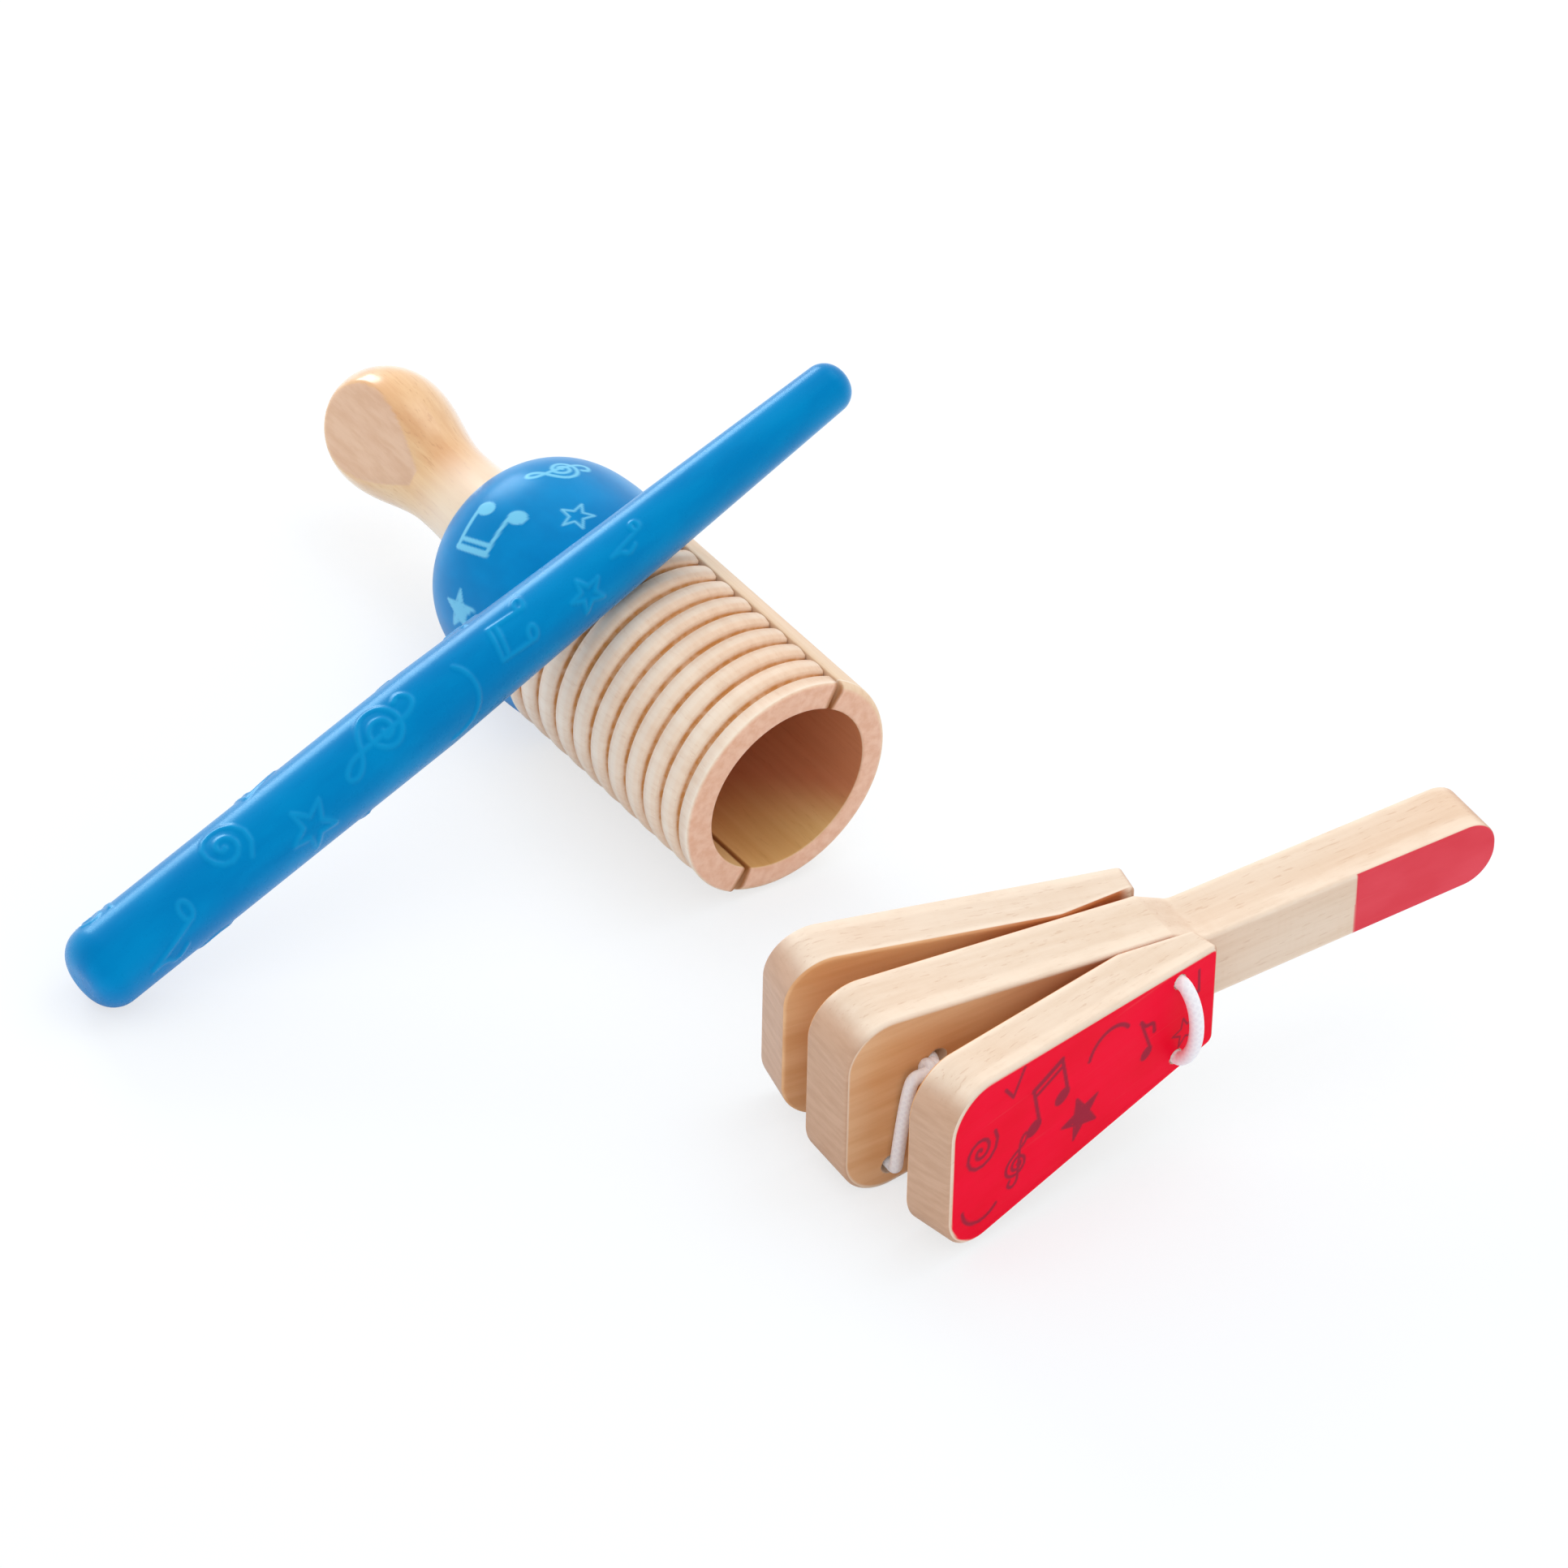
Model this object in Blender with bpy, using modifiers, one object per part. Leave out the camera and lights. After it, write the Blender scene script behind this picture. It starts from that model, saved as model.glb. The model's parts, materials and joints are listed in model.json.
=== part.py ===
"""Guiro clapper set: a capped guiro, its scraper and a three-board clapper.

Metres, +Z up. The set stands on a table at Z = 0: the guiro lies on its cap, the scraper
leans on the ribs with its butt on the table, and the clapper stands on the lower round
corner of its free end with its handle raised. Every piece hangs from an empty that stands
for the frame it is built in, and each paddle's empty lies on the ridge line that the
paddle rocks about.
"""

import math

import bmesh
import bpy
from mathutils import Matrix, Vector

# Clearances and fineness
seat_gap = 0.0003
cord_clearance = 0.00035
cut_overrun = 0.003
weld_distance = 0.000001
ring_steps = 48
rod_steps = 32
handle_steps = 40
drill_steps = 16
knot_turn_steps = 14
knot_strand_steps = 8
arc_step = math.radians(15)
sharp_angle = math.radians(32)

# Guiro tube, measured along its axis from the open end
tube_length = 0.0675
tube_radius = 0.0275
tube_wall = 0.0067
split_gap = 0.0011
split_roll = math.radians(23.8)
ribbed_mouth_round = 0.0014
smooth_mouth_round = 0.0028
bore_mouth_round = 0.0010
groove_first = 0.0050
groove_pitch = 0.00654
groove_width = 0.0022
groove_floor_width = 0.0007
groove_depth = 0.0018
crest_drop = 0.0004
crest_flat_share = 0.5

# Cap: a turned block with a domed end, plugged into the tube
cap_proud = 0.0005
cap_rim_inset = 0.0002
cap_widest_from_rim = 0.0125
cap_dome_length = 0.031
cap_dome_side_power = 2.3
cap_dome_end_power = 3.0
cap_dome_crowding = 1.3
cap_land_margin = 0.0008
cap_spigot_length = 0.014
cap_spigot_chamfer = 0.0012

# Handle of the guiro, measured from its seat on the cap
handle_base_radius = 0.0115
handle_neck_radius = 0.0104
handle_bulge_radius = 0.0148
handle_neck_from_seat = 0.0165
handle_bulge_from_seat = 0.0410
handle_end_length = 0.0168
handle_flat_from_axis = 0.0103
handle_flat_roll = math.radians(22.5)
tenon_radius = 0.0060
tenon_length = 0.0140

# Scraper, measured from its thick end
scraper_length = 0.2255
scraper_radius = 0.0098
scraper_taper_start = 0.1000
scraper_tip_radius = 0.00585
scraper_butt_round = 0.0065
scraper_tip_round = 0.0050
scraper_seat_from_butt = 0.1570
scraper_seat_from_mouth = 0.0529
scraper_yaw = math.radians(-84.7)

# Clapper boards, measured along the centre line from the free end
head_length = 0.0834
centre_half_free = 0.0253
paddle_length = 0.0846
paddle_half_free = 0.0237
head_half_hinge = 0.01405
free_corner_round = 0.0110
hinge_corner_round = 0.0020
board_edge_round = 0.0009
centre_thickness = 0.0154
paddle_thickness = 0.0120
centre_length = 0.1698
shoulder_length = 0.0090
shoulder_fillet = 0.0060
neck_half = 0.0091
handle_half = 0.0084
handle_end_round = 0.0080
ridge_from_free = 0.0650
ridge_bevel = math.radians(14.4)
front_slack = math.radians(0.5)
rear_slack = math.radians(5.1)
front_set_back = 0.0034
rear_set_back = 0.0004

# Elastic cords of the clapper
cord_radius = 0.0015
hinge_hole_from_ridge = 0.0075
hinge_hole_edge = 0.0045
hinge_bow = 0.0055
bumper_upper_from_free = 0.0232
bumper_upper_height = 0.0076
bumper_turn_from_free = 0.0145
bumper_turn_height = 0.0093
bumper_lower_from_free = 0.0123
bumper_lower_height = -0.0179
bumper_lift = 0.0019
knot_lift = 0.0031
knot_from_hole_share = 0.35
knot_ring_share = 0.95
knot_strand_share = 0.85
knot_step_share = 1.5
bow_steps = 10
bend_step = math.radians(24)

# Places on the table, from the centre of the guiro's open end
clapper_beside = -0.0848
clapper_ahead = 0.0540
clapper_yaw = math.radians(-94.57)
clapper_pitch = math.radians(7.1)

# Sizes that follow from those above
bore_radius = tube_radius - tube_wall
spigot_radius = bore_radius - seat_gap
cap_radius = tube_radius + cap_proud
cap_rim_radius = tube_radius - cap_rim_inset
cap_rim = tube_length + seat_gap
cap_widest = cap_rim + cap_widest_from_rim
cap_land_radius = handle_base_radius + cap_land_margin
cord_hole_radius = cord_radius + cord_clearance
centre_slope = (centre_half_free - head_half_hinge) / head_length
paddle_slope = (paddle_half_free - head_half_hinge) / paddle_length
hinge_from_centre = centre_thickness / 2 + seat_gap
front_ridge = front_set_back + ridge_from_free
rear_ridge = rear_set_back + ridge_from_free
hinge_hole = front_ridge + hinge_hole_from_ridge * math.cos(front_slack) / math.cos(ridge_bevel)
rear_hole_from_ridge = (hinge_hole - rear_ridge) * math.cos(ridge_bevel) / math.cos(rear_slack)
ridge_half = paddle_half_free - paddle_slope * ridge_from_free
hinge_hole_height = ridge_half - paddle_slope * hinge_hole_from_ridge - hinge_hole_edge

# The clapper's height puts the round of its lower free corner on the table
corner_reach = free_corner_round * (centre_slope + math.hypot(1, centre_slope))
corner_drop = (centre_half_free - corner_reach) * math.cos(clapper_pitch)
clapper_height = free_corner_round * (1 - math.sin(clapper_pitch)) + corner_drop

# Colours as seen, display channels from 0 to 255
pale_wood = (243, 223, 202)
peach_wood = (226, 184, 156)
ivory_wood = (250, 236, 222)
amber_wood = (231, 187, 145)
cap_blue = (4, 147, 204)
stick_blue = (2, 132, 195)
print_red = (228, 20, 50)
cord_white = (230, 226, 226)


def remove_all_objects():
    """Empty the scene, whatever it holds."""
    for item in list(bpy.data.objects):
        bpy.data.objects.remove(item, do_unlink=True)


def new_collection(name):
    """A collection linked to the scene."""
    collection = bpy.data.collections.new(name)
    bpy.context.scene.collection.children.link(collection)
    return collection


def linear(channel):
    """Linear value of one display channel given from 0 to 255."""
    value = channel / 255
    if value <= 0.04045:
        return value / 12.92
    return ((value + 0.055) / 1.055) ** 2.4


def new_material(name, colour, roughness):
    """A Principled material in a colour given by display channels."""
    material = bpy.data.materials.new(name)
    material.use_nodes = True
    shader = material.node_tree.nodes["Principled BSDF"]
    rgba = tuple(linear(channel) for channel in colour) + (1.0,)
    shader.inputs["Base Color"].default_value = rgba
    shader.inputs["Roughness"].default_value = roughness
    shader.inputs["Metallic"].default_value = 0.0
    material.diffuse_color = rgba
    return material


def new_empty(name, parent=None, location=(0, 0, 0), rotation=(0, 0, 0)):
    """An empty that stands for a frame of construction."""
    frame = bpy.data.objects.new(name, None)
    parts.objects.link(frame)
    frame.parent = parent
    frame.location = location
    frame.rotation_euler = rotation
    return frame


def put(piece, parent, location=(0, 0, 0), rotation=(0, 0, 0)):
    """Hang a piece from its frame."""
    piece.parent = parent
    piece.location = location
    piece.rotation_euler = rotation


def paint(piece, colour, roughness):
    """Give a piece its own material."""
    piece.data.materials.clear()
    piece.data.materials.append(new_material(piece.name, colour, roughness))


def evaluated_mesh(item):
    """The item's surface as the viewport evaluates it, as a mesh of its own."""
    bpy.context.view_layer.update()
    graph = bpy.context.evaluated_depsgraph_get()
    return bpy.data.meshes.new_from_object(item.evaluated_get(graph))


def shade(mesh):
    """Smooth shading that stops at sharp edges."""
    mesh.shade_smooth()
    mesh.set_sharp_from_angle(angle=sharp_angle)


def turned(name, profile, ring=False, steps=ring_steps):
    """A solid of revolution about its own Z axis.

    The profile's (radius, height) points run down the outer side, from top to bottom.
    It ends on the axis at both ends, or closes on itself where ring is true.
    """
    mesh = bpy.data.meshes.new(name)
    points = [(radius, 0, height) for radius, height in profile]
    edges = [(index, index + 1) for index in range(len(points) - 1)]
    if ring:
        edges.append((len(points) - 1, 0))
    mesh.from_pydata(points, edges, [])
    piece = bpy.data.objects.new(name, mesh)
    parts.objects.link(piece)
    screw = piece.modifiers.new("turn", "SCREW")
    screw.axis = "Z"
    screw.angle = math.tau
    screw.steps = steps
    screw.render_steps = steps
    screw.use_merge_vertices = True
    screw.merge_threshold = weld_distance
    turned_mesh = evaluated_mesh(piece)
    piece.modifiers.clear()
    piece.data = turned_mesh
    shade(turned_mesh)
    return piece


def mesh_from_curve(item, turn=None):
    """Swap a curve object for a mesh object whose caps are welded to its walls."""
    name = item.name
    mesh = evaluated_mesh(item)
    place = item.matrix_world.copy()
    bpy.data.objects.remove(item, do_unlink=True)
    work = bmesh.new()
    work.from_mesh(mesh)
    bmesh.ops.remove_doubles(work, verts=work.verts, dist=weld_distance)
    bmesh.ops.recalc_face_normals(work, faces=work.faces)
    work.to_mesh(mesh)
    work.free()
    if turn is not None:
        mesh.transform(turn)
    shade(mesh)
    piece = bpy.data.objects.new(name, mesh)
    piece.matrix_world = place
    parts.objects.link(piece)
    return piece


def rounded(corners, fineness):
    """A closed route through (place, radius) corners, each rounded by an arc."""
    points = []
    for index, (corner, radius) in enumerate(corners):
        before = (corners[index - 1][0] - corner).normalized()
        after = (corners[(index + 1) % len(corners)][0] - corner).normalized()
        half = before.angle(after) / 2
        centre = corner + (before + after).normalized() * radius / math.sin(half)
        first = corner + before * radius / math.tan(half) - centre
        last = corner + after * radius / math.tan(half) - centre
        turn = math.pi - 2 * half
        steps = max(2, round(turn / fineness))
        for step in range(steps + 1):
            early = math.sin(turn * (1 - step / steps)) / math.sin(turn)
            late = math.sin(turn * step / steps) / math.sin(turn)
            points.append(centre + first * early + last * late)
    return points


def plate(name, outline, thickness):
    """A flat board in the XZ plane, its outline extruded along Y with rounded edges."""
    curve = bpy.data.curves.new(name, "CURVE")
    curve.dimensions = "2D"
    curve.fill_mode = "BOTH"
    curve.offset = -board_edge_round
    curve.extrude = thickness / 2 - board_edge_round
    curve.bevel_depth = board_edge_round
    curve.bevel_resolution = 1
    spline = curve.splines.new("POLY")
    spline.points.add(len(outline) - 1)
    for point, place in zip(spline.points, outline):
        point.co = (place.x, place.y, 0, 1)
    spline.use_cyclic_u = True
    item = bpy.data.objects.new(name, curve)
    parts.objects.link(item)
    return mesh_from_curve(item, Matrix.Rotation(math.pi / 2, 4, "X"))


def tube_along(name, route, radius, closed=False):
    """A round cord along a route of points."""
    curve = bpy.data.curves.new(name, "CURVE")
    curve.dimensions = "3D"
    curve.bevel_depth = radius
    curve.bevel_resolution = 2
    curve.use_fill_caps = not closed
    spline = curve.splines.new("POLY")
    spline.points.add(len(route) - 1)
    for point, place in zip(spline.points, route):
        point.co = (place.x, place.y, place.z, 1)
    spline.use_cyclic_u = closed
    item = bpy.data.objects.new(name, curve)
    parts.objects.link(item)
    return mesh_from_curve(item)


def as_tool(item):
    """Keep a cutting or joining shape out of sight, in the tools' own collection."""
    for collection in item.users_collection:
        collection.objects.unlink(item)
    tools.objects.link(item)
    item.hide_render = True
    item.display_type = "WIRE"


def box_tool(name, size, parent, location, rotation=(0, 0, 0)):
    """A box for cutting, its size set in its mesh."""
    bpy.ops.mesh.primitive_cube_add(size=1)
    item = bpy.context.object
    item.name = name
    item.data.transform(Matrix.Diagonal((*size, 1)))
    as_tool(item)
    put(item, parent, location, rotation)
    return item


def drill_tool(name, radius, length, parent, location):
    """A round drill along Y."""
    bpy.ops.mesh.primitive_cylinder_add(vertices=drill_steps, radius=radius, depth=length)
    item = bpy.context.object
    item.name = name
    item.data.transform(Matrix.Rotation(math.pi / 2, 4, "X"))
    as_tool(item)
    put(item, parent, location)
    return item


def boolean(piece, tool, operation="DIFFERENCE"):
    """Cut the tool's shape away from a piece, or join it on."""
    change = piece.modifiers.new(tool.name, "BOOLEAN")
    change.operation = operation
    change.solver = "EXACT"
    change.object = tool


def quarter_arc(centre_radius, centre_height, radius, start, steps=4):
    """Points of a quarter circle in a turned profile, clockwise from the start angle."""
    points = []
    for step in range(steps + 1):
        angle = start - math.pi / 2 * step / steps
        across = centre_radius + radius * math.cos(angle)
        points.append((across, centre_height + radius * math.sin(angle)))
    return points


def groove_places():
    """Heights of the groove centres, as many as the tube's length holds."""
    room = tube_length - groove_first - groove_width
    count = int(room / groove_pitch) + 1
    return [groove_first + groove_pitch * index for index in range(count)]


def ribbed_side():
    """The grooved outer side of the tube, from the cap down to the mouth."""
    points = [(tube_radius, tube_length)]
    crest_half = (groove_pitch - groove_width) * crest_flat_share / 2
    low_radius = tube_radius - groove_depth
    edge_radius = tube_radius - crest_drop
    places = groove_places()
    for place in reversed(places):
        points.append((edge_radius, place + groove_width / 2))
        points.append((low_radius, place + groove_floor_width / 2))
        points.append((low_radius, place - groove_floor_width / 2))
        points.append((edge_radius, place - groove_width / 2))
        if place != places[0]:
            crest = place - groove_pitch / 2
            points.append((tube_radius, crest + crest_half))
            points.append((tube_radius, crest - crest_half))
    return points


def shell_profile(outer_side, mouth_round):
    """Closed profile of the tube's wall: outer side, mouth and bore."""
    mouth = quarter_arc(tube_radius - mouth_round, mouth_round, mouth_round, 0)
    inner = quarter_arc(bore_radius + bore_mouth_round, bore_mouth_round, bore_mouth_round,
                        -math.pi / 2, steps=3)
    return outer_side + mouth + inner + [(bore_radius, tube_length)]


def half_shell(name, outer_side, mouth_round, side, colour):
    """One half of the split tube; side is 1 for the ribbed half and -1 for the smooth one."""
    shell = turned(name, shell_profile(outer_side, mouth_round), ring=True)
    put(shell, guiro_axis, rotation=(0, 0, split_roll))
    width = 2 * tube_radius + cut_overrun
    size = (width, width, tube_length + cut_overrun)
    saw = box_tool(name + "_saw", size, shell, (0, side * (split_gap - width) / 2, tube_length / 2))
    boolean(shell, saw)
    paint(shell, colour, 0.5)
    return shell


def cap_land():
    """Height of the flat land on the dome's end that the handle seats on."""
    share = (cap_land_radius / cap_radius) ** (cap_dome_side_power / 2)
    return cap_widest + cap_dome_length * dome_rise(math.acos(share))


def dome_rise(angle):
    """Height of the dome at an angle, as a share of its length."""
    return math.sin(angle) ** (2 / cap_dome_end_power)


def dome_points():
    """The dome's superellipse, from the handle's land down to the widest ring."""
    land_angle = math.acos((cap_land_radius / cap_radius) ** (cap_dome_side_power / 2))
    steps = 12
    points = []
    for step in range(steps + 1):
        angle = land_angle * (1 - (step / steps) ** cap_dome_crowding)
        radius = cap_radius * math.cos(angle) ** (2 / cap_dome_side_power)
        points.append((radius, cap_widest + cap_dome_length * dome_rise(angle)))
    return points


def make_cap():
    """The domed cap, its spigot in the tube and its blind hole for the handle's tenon."""
    hole_radius = tenon_radius + seat_gap
    land = cap_land()
    floor = land - tenon_length
    points = [(0, floor), (hole_radius, floor), (hole_radius, land)]
    points += dome_points()
    for step in (1, 2):
        share = step / 3
        drop = (cap_radius - cap_rim_radius) * share ** 2
        points.append((cap_radius - drop, cap_widest - cap_widest_from_rim * share))
    points.append((cap_rim_radius, cap_rim))
    points.append((spigot_radius, cap_rim))
    spigot_end = tube_length - cap_spigot_length
    points.append((spigot_radius, spigot_end + cap_spigot_chamfer))
    points.append((spigot_radius - cap_spigot_chamfer, spigot_end))
    points.append((0, spigot_end))
    cap = turned("end_cap", points)
    put(cap, guiro_axis)
    paint(cap, cap_blue, 0.3)
    return cap


def handle_profile():
    """The handle's (radius, height) points from its round end down to its tenon."""
    points = []
    for step in range(9):
        angle = math.pi / 2 * step / 8
        height = handle_bulge_from_seat + handle_end_length * math.cos(angle)
        points.append((handle_bulge_radius * math.sin(angle), height))
    for step in range(1, 8):
        share = 1 - step / 7
        swell = (1 - math.cos(math.pi * share)) / 2
        radius = handle_neck_radius + (handle_bulge_radius - handle_neck_radius) * swell
        rise = (handle_bulge_from_seat - handle_neck_from_seat) * share
        points.append((radius, handle_neck_from_seat + rise))
    for step in range(1, 5):
        share = step / 4
        radius = handle_neck_radius + (handle_base_radius - handle_neck_radius) * share ** 2
        points.append((radius, handle_neck_from_seat * (1 - share)))
    points.append((tenon_radius, 0))
    points.append((tenon_radius, -tenon_length))
    points.append((0, -tenon_length))
    return points


def make_handle():
    """The turned handle, with the one flat that is milled along its grip."""
    handle = turned("guiro_handle", handle_profile(), steps=handle_steps)
    put(handle, guiro_axis, (0, 0, cap_land() + seat_gap), (0, 0, handle_flat_roll))
    grip = handle_bulge_from_seat + handle_end_length - handle_neck_from_seat
    depth = handle_bulge_radius
    size = (2 * handle_bulge_radius + cut_overrun, depth, grip + cut_overrun)
    middle = handle_neck_from_seat + size[2] / 2
    place = (0, handle_flat_from_axis + depth / 2, middle)
    boolean(handle, box_tool("handle_flat_mill", size, handle, place))
    paint(handle, amber_wood, 0.35)
    return handle


def scraper_radius_at(distance):
    """Radius of the scraper at a distance from its thick end."""
    taper = (scraper_radius - scraper_tip_radius) / (scraper_length - scraper_taper_start)
    return scraper_radius - taper * max(0, distance - scraper_taper_start)


def scraper_pose():
    """Where the scraper's thick end lies and which way it points.

    The pitch is found by halving: the shank touches the ribs at its seat, and the thick
    end's rounded rim just meets the table.
    """
    reach = tube_radius + seat_gap + scraper_radius_at(scraper_seat_from_butt)
    under_ribs = Vector((scraper_seat_from_mouth, 0, cap_radius))
    low = 0
    high = math.pi / 3
    for _ in range(40):
        pitch = (low + high) / 2
        direction = Vector((math.cos(pitch) * math.cos(scraper_yaw),
                            math.cos(pitch) * math.sin(scraper_yaw), math.sin(pitch)))
        normal = direction.cross(Vector((1, 0, 0))).normalized()
        butt = under_ribs + normal * reach - direction * scraper_seat_from_butt
        rim = (scraper_radius - scraper_butt_round) * math.cos(pitch) + scraper_butt_round
        if butt.z + scraper_butt_round * math.sin(pitch) > rim:
            low = pitch
        else:
            high = pitch
    return butt, direction


def make_scraper():
    """The tapered plastic scraper with its two rounded ends."""
    tip_centre = scraper_length - scraper_tip_round
    points = [(0, scraper_length)]
    points += quarter_arc(scraper_radius_at(tip_centre) - scraper_tip_round, tip_centre,
                          scraper_tip_round, math.pi / 2)
    points.append((scraper_radius, scraper_taper_start))
    points += quarter_arc(scraper_radius - scraper_butt_round, scraper_butt_round,
                          scraper_butt_round, 0, steps=5)
    points.append((0, 0))
    scraper = turned("scraper_stick", points, steps=rod_steps)
    butt, direction = scraper_pose()
    put(scraper, set_origin, butt, direction.to_track_quat("Z", "Y").to_euler())
    paint(scraper, stick_blue, 0.4)
    return scraper


def board_holes():
    """Where the cords pass through the centre board, as (distance, height) pairs."""
    return {
        "hinge_upper": (hinge_hole, hinge_hole_height),
        "hinge_lower": (hinge_hole, -hinge_hole_height),
        "bumper_upper": (bumper_upper_from_free, bumper_upper_height),
        "bumper_lower": (bumper_lower_from_free, bumper_lower_height),
    }


def make_centre_board():
    """The middle board: the head and the long handle, cut from one plank."""
    neck = head_length + shoulder_length
    side = [
        (0, -centre_half_free, free_corner_round),
        (head_length, -head_half_hinge, hinge_corner_round),
        (neck, -neck_half, shoulder_fillet),
        (centre_length, -handle_half, handle_end_round),
    ]
    other = [(x, -y, radius) for x, y, radius in reversed(side)]
    corners = [(Vector((x, y)), radius) for x, y, radius in side + other]
    board = plate("centre_board", rounded(corners, arc_step), centre_thickness)
    put(board, clapper_frame)
    depth = centre_thickness + cut_overrun
    for name, (distance, height) in board_holes().items():
        drill = drill_tool(name, cord_hole_radius, depth, clapper_frame, (distance, 0, height))
        boolean(board, drill)
    paint(board, pale_wood, 0.5)
    return board


def make_paddle(name, hinge, side, hole_from_ridge, colour):
    """An outer board, bevelled from its ridge line back; side is -1 in front, 1 behind."""
    free = -ridge_from_free
    back = paddle_length - ridge_from_free
    corners = [
        (Vector((free, -paddle_half_free)), free_corner_round),
        (Vector((back, -head_half_hinge)), hinge_corner_round),
        (Vector((back, head_half_hinge)), hinge_corner_round),
        (Vector((free, paddle_half_free)), free_corner_round),
    ]
    paddle = plate(name, rounded(corners, arc_step), paddle_thickness)
    paddle.data.transform(Matrix.Translation((0, side * paddle_thickness / 2, 0)))
    put(paddle, hinge)
    length = back + 2 * cut_overrun
    depth = paddle_thickness
    along = Vector((math.cos(ridge_bevel), side * math.sin(ridge_bevel), 0))
    inward = Vector((math.sin(ridge_bevel), -side * math.cos(ridge_bevel), 0))
    middle = along * (length / 2 - cut_overrun) + inward * depth / 2
    plane = box_tool(name + "_bevel", (length, depth, 2 * paddle_half_free), hinge, middle,
                     (0, 0, side * ridge_bevel))
    boolean(paddle, plane)
    for height in (hinge_hole_height, -hinge_hole_height):
        place = (hole_from_ridge, side * paddle_thickness / 2, height)
        drill = drill_tool(name + "_drill", cord_hole_radius, paddle_thickness + cut_overrun,
                           hinge, place)
        boolean(paddle, drill)
    paint(paddle, colour, 0.35)
    return paddle


def from_hinge(hinge, x, y, z):
    """A point given in a paddle's frame, in the clapper's frame."""
    turn = Matrix.Rotation(hinge.rotation_euler.z, 3, "Z")
    return hinge.location + turn @ Vector((x, y, z))


def bow(hinge, side, hole_from_ridge, start):
    """The cord's arch over a paddle's outer face, from one hole's mouth to the other's."""
    points = []
    for step in range(bow_steps + 1):
        angle = math.pi * step / bow_steps
        out = paddle_thickness + hinge_bow * math.sin(angle)
        height = start * hinge_hole_height * math.cos(angle)
        points.append(from_hinge(hinge, hole_from_ridge, side * out, height))
    return points


def knot_rings(name, place, along, frame):
    """Turns of a knot: rings side by side round a cord, which join into it."""
    rings = []
    turn = along.to_track_quat("Z", "Y").to_euler()
    for shift in (-0.5, 0.5):
        bpy.ops.mesh.primitive_torus_add(major_segments=knot_turn_steps,
                                         minor_segments=knot_strand_steps,
                                         major_radius=cord_radius * knot_ring_share,
                                         minor_radius=cord_radius * knot_strand_share)
        ring = bpy.context.object
        ring.name = name + "_turn"
        as_tool(ring)
        offset = along * cord_radius * knot_step_share * shift
        put(ring, frame, place + offset, turn)
        rings.append(ring)
    return rings


def make_hinge_cord(front, rear):
    """The elastic loop that ties the three boards together behind the ridges."""
    holes = board_holes()
    face = centre_thickness / 2
    route = bow(front, -1, hinge_hole_from_ridge, 1)
    distance, height = holes["hinge_lower"]
    route += [Vector((distance, -face, height)), Vector((distance, face, height))]
    arch = bow(rear, 1, rear_hole_from_ridge, -1)
    route += arch
    distance, height = holes["hinge_upper"]
    route += [Vector((distance, face, height)), Vector((distance, -face, height))]
    cord = tube_along("hinge_cord", route, cord_radius, closed=True)
    put(cord, clapper_frame)
    crown = arch[bow_steps // 2]
    along = (arch[bow_steps // 2 + 1] - arch[bow_steps // 2 - 1]).normalized()
    for ring in knot_rings("hinge_knot", crown, along, clapper_frame):
        boolean(cord, ring, "UNION")
    paint(cord, cord_white, 0.6)
    return cord


def make_bumper_cord():
    """The elastic loop near the free end that the paddles strike on, knotted in front."""
    face = centre_thickness / 2
    upper_hole = Vector((bumper_upper_from_free, -face - knot_lift, bumper_upper_height))
    turn = Vector((bumper_turn_from_free, -face - knot_lift, bumper_turn_height))
    lower_hole = Vector((bumper_lower_from_free, -face - bumper_lift, bumper_lower_height))
    lower_back = Vector((bumper_lower_from_free, face + bumper_lift, bumper_lower_height))
    upper_back = Vector((bumper_upper_from_free, face + bumper_lift, bumper_upper_height))
    corners = [
        (upper_hole, knot_lift),
        (turn, bumper_lift),
        (lower_hole, bumper_lift),
        (lower_back, bumper_lift),
        (upper_back, bumper_lift),
    ]
    cord = tube_along("bumper_cord", rounded(corners, bend_step), cord_radius, closed=True)
    put(cord, clapper_frame)
    place = upper_hole.lerp(turn, knot_from_hole_share)
    along = (turn - upper_hole).normalized()
    for ring in knot_rings("bumper_knot", place, along, clapper_frame):
        boolean(cord, ring, "UNION")
    paint(cord, cord_white, 0.6)
    return cord


def centre_over_table():
    """Move the set so that its box stands centred on the origin."""
    bpy.context.view_layer.update()
    graph = bpy.context.evaluated_depsgraph_get()
    corners = []
    for piece in parts.objects:
        if piece.type == "MESH":
            solid = piece.evaluated_get(graph)
            corners += [solid.matrix_world @ vertex.co for vertex in solid.data.vertices]
    low = Vector([min(corner[axis] for corner in corners) for axis in range(3)])
    high = Vector([max(corner[axis] for corner in corners) for axis in range(3)])
    set_origin.location = -Vector(((low.x + high.x) / 2, (low.y + high.y) / 2, low.z))
    bpy.context.view_layer.update()


remove_all_objects()
parts = new_collection("guiro_clapper")
tools = new_collection("guiro_clapper_tools")
set_origin = new_empty("set_origin")

# Guiro: its axis is the Z axis of its frame, laid level along +X
guiro_axis = new_empty("guiro_axis", set_origin, (0, 0, cap_radius), (0, math.pi / 2, 0))
half_shell("ribbed_half_shell", ribbed_side(), ribbed_mouth_round, 1, peach_wood)
half_shell("smooth_half_shell", [(tube_radius, tube_length)], smooth_mouth_round, -1, ivory_wood)
make_cap()
make_handle()
make_scraper()

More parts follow.
